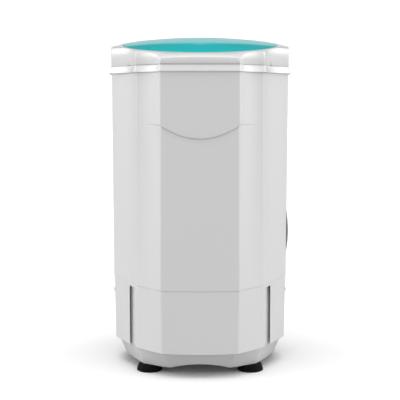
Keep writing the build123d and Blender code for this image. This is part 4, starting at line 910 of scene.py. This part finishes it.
def build_plinth(sizes):
    """Tapered plinth with a shallow arch front and back, and the sleeve inside the skirt."""
    table = PlanTable([(PLINTH_LOW_Z, PLINTH_LOW_PLAN), (HEM_Z, PLINTH_HIGH_PLAN),
                       (SLEEVE_TOP_Z, PLINTH_HIGH_PLAN)], sizes.corner_softness)
    angles = column_angles()
    low_r = table.radius(angles, np.full(len(angles), PLINTH_LOW_Z))
    across = np.clip(np.abs(low_r * np.cos(angles)) / ARCH_HALF, 0, 1)
    arch = ARCH_RISE * (1 - across ** 2) * (np.abs(np.sin(angles)) > 0.5)
    rows = [(0, 1, 0.6), (0.5, 1, 0.15), (1.2, 1, 0), (1.8, 1, 0), (14, 0.25, 0), (24, 0, 0), (34, 0, 0), (36, 0, 0),
            (38, 0, 0), (80, 0, 0), (120, 0, 0), (158, 0, 0)]
    outer, inner = [], []
    for lift, arch_share, inset in rows:
        heights = PLINTH_LOW_Z + lift * MM + arch * arch_share
        radii = table.radius(angles, heights)
        outer.append(ring_points(angles, radii - inset * MM, heights))
        inner.append(ring_points(angles, radii - WALL * 0.94, heights))
    piece = double_wall("plinth_wall", outer, inner)
    inward = (Vector((104, 76, 0)) - Vector((163, 86, 0))).normalized() * 40 * MM
    start = Vector((ELBOW_X, ELBOW_Y, ELBOW_RUN_Z))
    cut(piece, cylinder_between("elbow_cutter", start - inward, start + inward * 0.9, ELBOW_HOLE_R))
    bosses = []
    for x in (-FOOT_X, FOOT_X):
        for y in (-FOOT_Y, FOOT_Y):
            boss = lathe("boss", [(4, 14), (9.1, 14), (9.5, 14.4), (9.5, 40), (4, 40)], 48)
            boss.data.transform(Matrix.Translation((x, y, 0)) @ Matrix.Scale(MM, 4))
            bosses.append(boss)
    piece = join([piece, *bosses], "plinth_wall")
    shade(piece, 45)
    return place(piece, "cabinet", ["plinth"], finishes["white_gloss"])


FOOT_X, FOOT_Y = 103 * MM, 100 * MM


def build_feet():
    """Four rubber feet with a rolled foot ring and a grooved side."""
    profile = [(4.1, 7), (9, 7), (9, 0.6), (9.6, 0.05), (24.8, 0.05), (25.8, 0.9), (26, 2.2), (25.7, 3.6),
               (24.9, 4.4), (24.5, 5.2), (24.9, 6), (24.6, 7.0), (23.7, 10.0), (22.9, 12.4), (22.2, 13.4),
               (21.2, 13.9), (4.1, 13.9)]
    for end, y in (("front", -FOOT_Y), ("rear", FOOT_Y)):
        for side, x in (("left", -FOOT_X), ("right", FOOT_X)):
            piece = lathe(f"rubber_foot_{end}_{side}", [(r * MM, z * MM) for r, z in profile], 72)
            piece.data.transform(Matrix.Translation((x, y, 0)))
            shade(piece, 50)
            place(piece, "cabinet", [f"foot_{end}_{side}"], finishes["black_rubber"])


# ---- Hose -----------------------------------------------------------------------------------
# The hose's route, from the elbow's spigot up the side to its nozzle.
HOSE_ROUTE = [
    (0.1630, 0.0860, 0.150),
    (0.1670, 0.0875, 0.182),
    (0.1743, 0.0893, 0.214),
    (0.1773, 0.0900, 0.249),
    (0.1748, 0.0895, 0.285),
    (0.1690, 0.0880, 0.325),
    (0.1630, 0.0860, 0.368),
    (0.1600, 0.0850, 0.413),
    (0.1604, 0.0856, 0.458),
    (0.1600, 0.0850, 0.503),
]
HOSE_R = 11 * MM


def smooth_route(points):
    """Points along the smooth line that follows a route."""
    curve = bpy.data.curves.new("route", "CURVE")
    curve.dimensions = "3D"
    spline = curve.splines.new("NURBS")
    spline.points.add(len(points) - 1)
    for point, place_at in zip(spline.points, points):
        point.co = (*place_at, 1)
    spline.order_u = 3
    spline.use_endpoint_u = True
    spline.resolution_u = 24
    route = bpy.data.objects.new("route", curve)
    bpy.context.scene.collection.objects.link(route)
    depsgraph = bpy.context.evaluated_depsgraph_get()
    line = bpy.data.meshes.new_from_object(route.evaluated_get(depsgraph))
    path = [v.co.copy() for v in line.vertices]
    bpy.data.objects.remove(route)
    bpy.data.curves.remove(curve)
    bpy.data.meshes.remove(line)
    return path


def tube_along(name, path, radius_at, steps=40):
    """A skin round a path, with a radius for each share of its length."""
    lengths = [0.0]
    for a, b in zip(path, path[1:]):
        lengths.append(lengths[-1] + (b - a).length)
    count = len(radius_at)
    wanted = np.linspace(0, lengths[-1], count)
    points = np.array([[np.interp(s, lengths, [p[axis] for p in path]) for axis in range(3)] for s in wanted])
    rings = []
    side = Vector((0, 1, 0))
    for i, radius in enumerate(radius_at):
        ahead = Vector(points[min(i + 1, count - 1)] - points[max(i - 1, 0)]).normalized()
        side = (side - ahead * side.dot(ahead)).normalized()
        other = ahead.cross(side)
        turn = np.arange(steps) * TURN / steps
        ring = np.outer(np.cos(turn), side) + np.outer(np.sin(turn), other)
        rings.append(points[i] + ring * radius)
    return loft_rings(name, rings, caps=True)


def build_hose(sizes):
    """Ribbed drain hose with plain cuffs, pushed on the elbow and into its nozzle."""
    path = smooth_route(HOSE_ROUTE)
    per_rib = 8
    count = sizes.hose_ribs * per_rib + 1
    share = np.arange(count) / (count - 1)
    wave = 0.5 + 0.5 * np.cos(share * sizes.hose_ribs * TURN)
    rib = HOSE_R - 1.5 * MM * (1 - wave) ** 1.6
    cuff = np.clip((np.minimum(share, 1 - share) - 0.045) / 0.01, 0, 1)
    radii = (HOSE_R - 0.6 * MM) * (1 - cuff) + rib * cuff
    piece = shade(tube_along("ribbed_hose", path, radii), 80)
    place(piece, "cabinet", ["drain_hose"], finishes["hose_grey"])
    nozzle = frame["nodes"]["hose_nozzle"]
    nozzle = nozzle if isinstance(nozzle, bpy.types.Object) else bpy.data.objects["hose_nozzle"]
    return piece


# ---- Springs --------------------------------------------------------------------------------
SPRING_CIRCLE_R, SPRING_R, WIRE_R = 95 * MM, 13 * MM, 1.6 * MM
SPRING_LOW_Z, SPRING_HIGH_Z, SPRING_TURNS = 48 * MM, 86 * MM, 5


def build_springs():
    """Three coil springs with closed, ground ends."""
    steps_per_turn, wire_steps = 36, 14
    dead = 0.75
    turns = np.linspace(0, SPRING_TURNS + 2 * dead - 0.5, int(steps_per_turn * (SPRING_TURNS + 1)))
    rise = np.clip((turns - dead) / (turns[-1] - 2 * dead), 0, 1)
    height = SPRING_LOW_Z + WIRE_R + rise * (SPRING_HIGH_Z - SPRING_LOW_Z - 2 * WIRE_R)
    for number, bearing in enumerate((90, 210, 330), start=1):
        centre = np.array([math.cos(math.radians(bearing)), math.sin(math.radians(bearing))]) * SPRING_CIRCLE_R
        rings = []
        around = np.arange(wire_steps) * TURN / wire_steps
        for turn, z in zip(turns * TURN, height):
            outward = np.array((math.cos(turn), math.sin(turn), 0))
            reach = SPRING_R + WIRE_R * np.cos(around)
            ring = np.outer(reach, outward)
            ring[:, 2] = z + WIRE_R * np.sin(around)
            ring[:, :2] += centre
            rings.append(ring)
        piece = shade(loft_rings(f"coil_spring_{number}", rings, caps=True), 60)
        place(piece, "cabinet", [f"suspension_spring_{number}"], finishes["spring_steel"])
        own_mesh(piece)


# ---- Nodes kept from the frame --------------------------------------------------------------
def finish_nodes():
    """Every node that still shows gets its finish and a weld of its split vertices."""
    slots = {row["node"]: row["material_slot"] for row in frame["record"]["subparts"]}
    for name, slot in slots.items():
        node = bpy.data.objects.get(name)
        if node is None or node.hide_render:
            continue
        for entry in node.material_slots:
            entry.material = finishes[slot]
        if not node.material_slots:
            raise RuntimeError(f"node {name} has no material slot")
        weld = node.modifiers.new("weld", "WELD")
        weld.merge_threshold = 0.005 * MM


# ---- Stage ----------------------------------------------------------------------------------
CAMERA_PLACE = (0, -3.4825, 0.9658)
CAMERA_PITCH = 10.28
CAMERA_LENS = 153.9


def stage_material(name, pale, dim):
    """A matt studio surface: pale where it is seen, and dimmer in what it sends back to the part."""
    material = plastic(name, (pale, pale, pale, 1), 0.9, drift=0.005, patch=0.02, grain=0.2, bump=0.02)
    tree = material.node_tree
    output = next(node for node in tree.nodes if node.type == "OUTPUT_MATERIAL")
    skin = output.inputs["Surface"].links[0].from_socket
    bounce = tree.nodes.new("ShaderNodeBsdfDiffuse")
    bounce.inputs["Color"].default_value = (dim, dim, dim, 1)
    path = tree.nodes.new("ShaderNodeLightPath")
    choose = tree.nodes.new("ShaderNodeMixShader")
    tree.links.new(path.outputs["Is Camera Ray"], choose.inputs[0])
    tree.links.new(bounce.outputs[0], choose.inputs[1])
    tree.links.new(skin, choose.inputs[2])
    tree.links.new(choose.outputs[0], output.inputs["Surface"])
    return material


def area_light(name, place_at, aim, size, power):
    """A soft rectangular light."""
    light = bpy.data.lights.new(name, "AREA")
    light.shape = "RECTANGLE"
    light.size, light.size_y = size
    light.energy = power
    lamp = bpy.data.objects.new(name, light)
    bpy.context.scene.collection.objects.link(lamp)
    lamp.location = place_at
    lamp.rotation_euler = (Vector(aim) - Vector(place_at)).to_track_quat("-Z", "Y").to_euler()
    return lamp


FRONT_GLOW, SIDE_GLOW, BACK_GLOW, DARK_GLOW = 0.84, 3.6, 0.50, 0.08


def studio_world():
    """Soft surroundings: dim in front, bright walls at both sides, a low pale wall behind."""
    world = bpy.data.worlds.new("studio")
    bpy.context.scene.world = world
    world.use_nodes = True
    tree = world.node_tree
    tree.nodes.clear()
    direction = tree.nodes.new("ShaderNodeTexCoord").outputs["Generated"]
    parts = tree.nodes.new("ShaderNodeSeparateXYZ")
    tree.links.new(direction, parts.inputs[0])

    def math_node(kind, first, second=0.0):
        node = tree.nodes.new("ShaderNodeMath")
        node.operation = kind
        for socket, value in zip(node.inputs, (first, second)):
            if isinstance(value, (int, float)):
                socket.default_value = value
            else:
                tree.links.new(value, socket)
        return node.outputs[0]

    def ramp(value, low, high, start, end):
        node = tree.nodes.new("ShaderNodeMapRange")
        node.interpolation_type = "SMOOTHSTEP"
        for label, number in (("From Min", low), ("From Max", high), ("To Min", start), ("To Max", end)):
            node.inputs[label].default_value = number
        tree.links.new(value, node.inputs["Value"])
        return node.outputs["Result"]

    sideways = math_node("ABSOLUTE", parts.outputs["X"])
    beside = ramp(sideways, 0.80, 0.99, FRONT_GLOW, SIDE_GLOW)
    wall_top = math_node("ADD", parts.outputs["Z"], math_node("MULTIPLY", sideways, 1.2))
    low_wall = ramp(wall_top, 0.215, 0.235, BACK_GLOW, 0.0)
    panel = math_node("MULTIPLY", low_wall, ramp(sideways, 0.10, 0.14, 1.0, 0.0))
    is_behind = ramp(parts.outputs["Y"], 0.15, 0.35, 0.0, 1.0)
    back_wall = math_node("ADD", panel, ramp(sideways, 0.6, 0.97, DARK_GLOW, SIDE_GLOW))
    behind = math_node("MULTIPLY", is_behind, back_wall)
    before = math_node("MULTIPLY", math_node("SUBTRACT", 1.0, is_behind), beside)
    around = tree.nodes.new("ShaderNodeBackground")
    around.inputs["Color"].default_value = (1, 1, 1, 1)
    tree.links.new(math_node("ADD", behind, before), around.inputs["Strength"])
    seen = tree.nodes.new("ShaderNodeBackground")
    seen.inputs["Color"].default_value = (1, 1, 1, 1)
    seen.inputs["Strength"].default_value = 1.1
    choose = tree.nodes.new("ShaderNodeMixShader")
    path = tree.nodes.new("ShaderNodeLightPath")
    tree.links.new(path.outputs["Is Camera Ray"], choose.inputs[0])
    tree.links.new(around.outputs[0], choose.inputs[1])
    tree.links.new(seen.outputs[0], choose.inputs[2])
    output = tree.nodes.new("ShaderNodeOutputWorld")
    tree.links.new(choose.outputs[0], output.inputs["Surface"])


def build_stage():
    """Pale floor, soft lights and the camera."""
    half = 40.0
    floor = add_piece("studio_floor", [(-half, -half, 0), (half, -half, 0), (half, half, 0), (-half, half, 0)],
                      [(0, 1, 2, 3)])
    dress(floor, stage_material("studio_floor", 0.9, 0.31))
    studio_world()
    overhead = area_light("overhead", (0, 0.1, 2.4), (0, 0, 0), (2.6, 2.6), 21)
    off_floor = bpy.data.collections.new("off_floor")
    off_floor.objects.link(floor)
    off_floor.collection_objects[0].light_linking.link_state = "EXCLUDE"
    overhead.light_linking.receiver_collection = off_floor
    floor_only = bpy.data.collections.new("floor_only")
    floor_only.objects.link(floor)
    sky = bpy.data.lights.new("floor_fill", "SUN")
    sky.energy = 1.65
    sky.angle = math.radians(50)
    sky_lamp = bpy.data.objects.new("floor_fill", sky)
    bpy.context.scene.collection.objects.link(sky_lamp)
    sky_lamp.light_linking.receiver_collection = floor_only
    camera = bpy.data.cameras.new("camera")
    camera.sensor_width = 36
    camera.lens = CAMERA_LENS
    viewer = bpy.data.objects.new("camera", camera)
    bpy.context.scene.collection.objects.link(viewer)
    viewer.location = CAMERA_PLACE
    viewer.rotation_euler = (math.radians(90 - CAMERA_PITCH), 0, 0)
    bpy.context.scene.camera = viewer
    bpy.context.scene.view_settings.view_transform = "Standard"


# ---- Operators ------------------------------------------------------------------------------
class WasherStep:
    """What every step of the build shares."""

    bl_options = {"REGISTER", "UNDO"}

    def sizes(self, context):
        return context.scene.washer_sizes


class WASHER_OT_stage(WasherStep, bpy.types.Operator):
    """Lay the floor, set the lights and place the camera"""

    bl_idname = "washer.stage"
    bl_label = "Stage"

    def execute(self, context):
        if "moulded_skin" not in bpy.data.node_groups:
            moulded_skin()
            drawn_metal()
        build_stage()
        return {"FINISHED"}


class WASHER_OT_finishes(WasherStep, bpy.types.Operator):
    """Make every finish of the machine"""

    bl_idname = "washer.finishes"
    bl_label = "Finishes"

    def execute(self, context):
        if "moulded_skin" not in bpy.data.node_groups:
            moulded_skin()
            drawn_metal()
        finishes.update(make_finishes(context.scene.washer_colours))
        return {"FINISHED"}


class WASHER_OT_cabinet(WasherStep, bpy.types.Operator):
    """Build the cabinet wall with its apron, and the collar band"""

    bl_idname = "washer.cabinet"
    bl_label = "Cabinet"

    def execute(self, context):
        build_cabinet(self.sizes(context))
        build_collar(self.sizes(context))
        return {"FINISHED"}


class WASHER_OT_cover(WasherStep, bpy.types.Operator):
    """Build the top cover with its hinge bay"""

    bl_idname = "washer.cover"
    bl_label = "Top cover"

    def execute(self, context):
        build_cover(self.sizes(context))
        build_clips()
        build_tub_cover(self.sizes(context))
        build_hinge_bay(self.sizes(context))
        return {"FINISHED"}


class WASHER_OT_lid(WasherStep, bpy.types.Operator):
    """Build the lid with its finger bar and seal"""

    bl_idname = "washer.lid"
    bl_label = "Lid"

    def execute(self, context):
        build_lid()
        build_grip()
        build_lid_gasket()
        return {"FINISHED"}


class WASHER_OT_base(WasherStep, bpy.types.Operator):
    """Build the vented skirt, the plinth and the rubber feet"""

    bl_idname = "washer.base"
    bl_label = "Lower body"

    def execute(self, context):
        build_skirt(self.sizes(context))
        build_skirt_screws()
        build_plinth(self.sizes(context))
        build_feet()
        return {"FINISHED"}


class WASHER_OT_hose(WasherStep, bpy.types.Operator):
    """Build the ribbed drain hose"""

    bl_idname = "washer.hose"
    bl_label = "Drain hose"

    def execute(self, context):
        build_hose(self.sizes(context))
        return {"FINISHED"}


class WASHER_OT_springs(WasherStep, bpy.types.Operator):
    """Build the three suspension springs"""

    bl_idname = "washer.springs"
    bl_label = "Springs"

    def execute(self, context):
        build_springs()
        return {"FINISHED"}


class WASHER_OT_inside(WasherStep, bpy.types.Operator):
    """Finish the motor, basket, tub and fittings kept from the frame"""

    bl_idname = "washer.inside"
    bl_label = "Inside"

    def execute(self, context):
        finish_nodes()
        return {"FINISHED"}


STEPS = (WASHER_OT_finishes, WASHER_OT_stage, WASHER_OT_cabinet, WASHER_OT_cover, WASHER_OT_lid,
         WASHER_OT_base, WASHER_OT_hose, WASHER_OT_springs, WASHER_OT_inside)


class WASHER_PT_panel(bpy.types.Panel):
    """Sizes, colours and steps of the washer"""

    bl_idname = "WASHER_PT_panel"
    bl_label = "Spin Washer"
    bl_space_type = "VIEW_3D"
    bl_region_type = "UI"
    bl_category = "Washer"

    def draw(self, context):
        layout = self.layout
        for group in (context.scene.washer_sizes, context.scene.washer_colours):
            box = layout.box()
            for label in group.__annotations__:
                box.prop(group, label)
        for step in STEPS:
            layout.operator(step.bl_idname)


CLASSES = (WasherSizes, WasherColours, *STEPS, WASHER_PT_panel)


def register():
    """Register the classes and the settings."""
    for kind in CLASSES:
        bpy.utils.register_class(kind)
    bpy.types.Scene.washer_sizes = bpy.props.PointerProperty(type=WasherSizes)
    bpy.types.Scene.washer_colours = bpy.props.PointerProperty(type=WasherColours)


def unregister():
    """Take the settings and the classes away."""
    del bpy.types.Scene.washer_colours
    del bpy.types.Scene.washer_sizes
    for kind in reversed(CLASSES):
        bpy.utils.unregister_class(kind)


def main():
    """Build the whole machine."""
    register()
    for step in STEPS:
        area, name = step.bl_idname.split(".")
        if getattr(getattr(bpy.ops, area), name)() != {"FINISHED"}:
            raise RuntimeError(f"{step.bl_label} didn't finish")


if __name__ == "__main__":
    main()
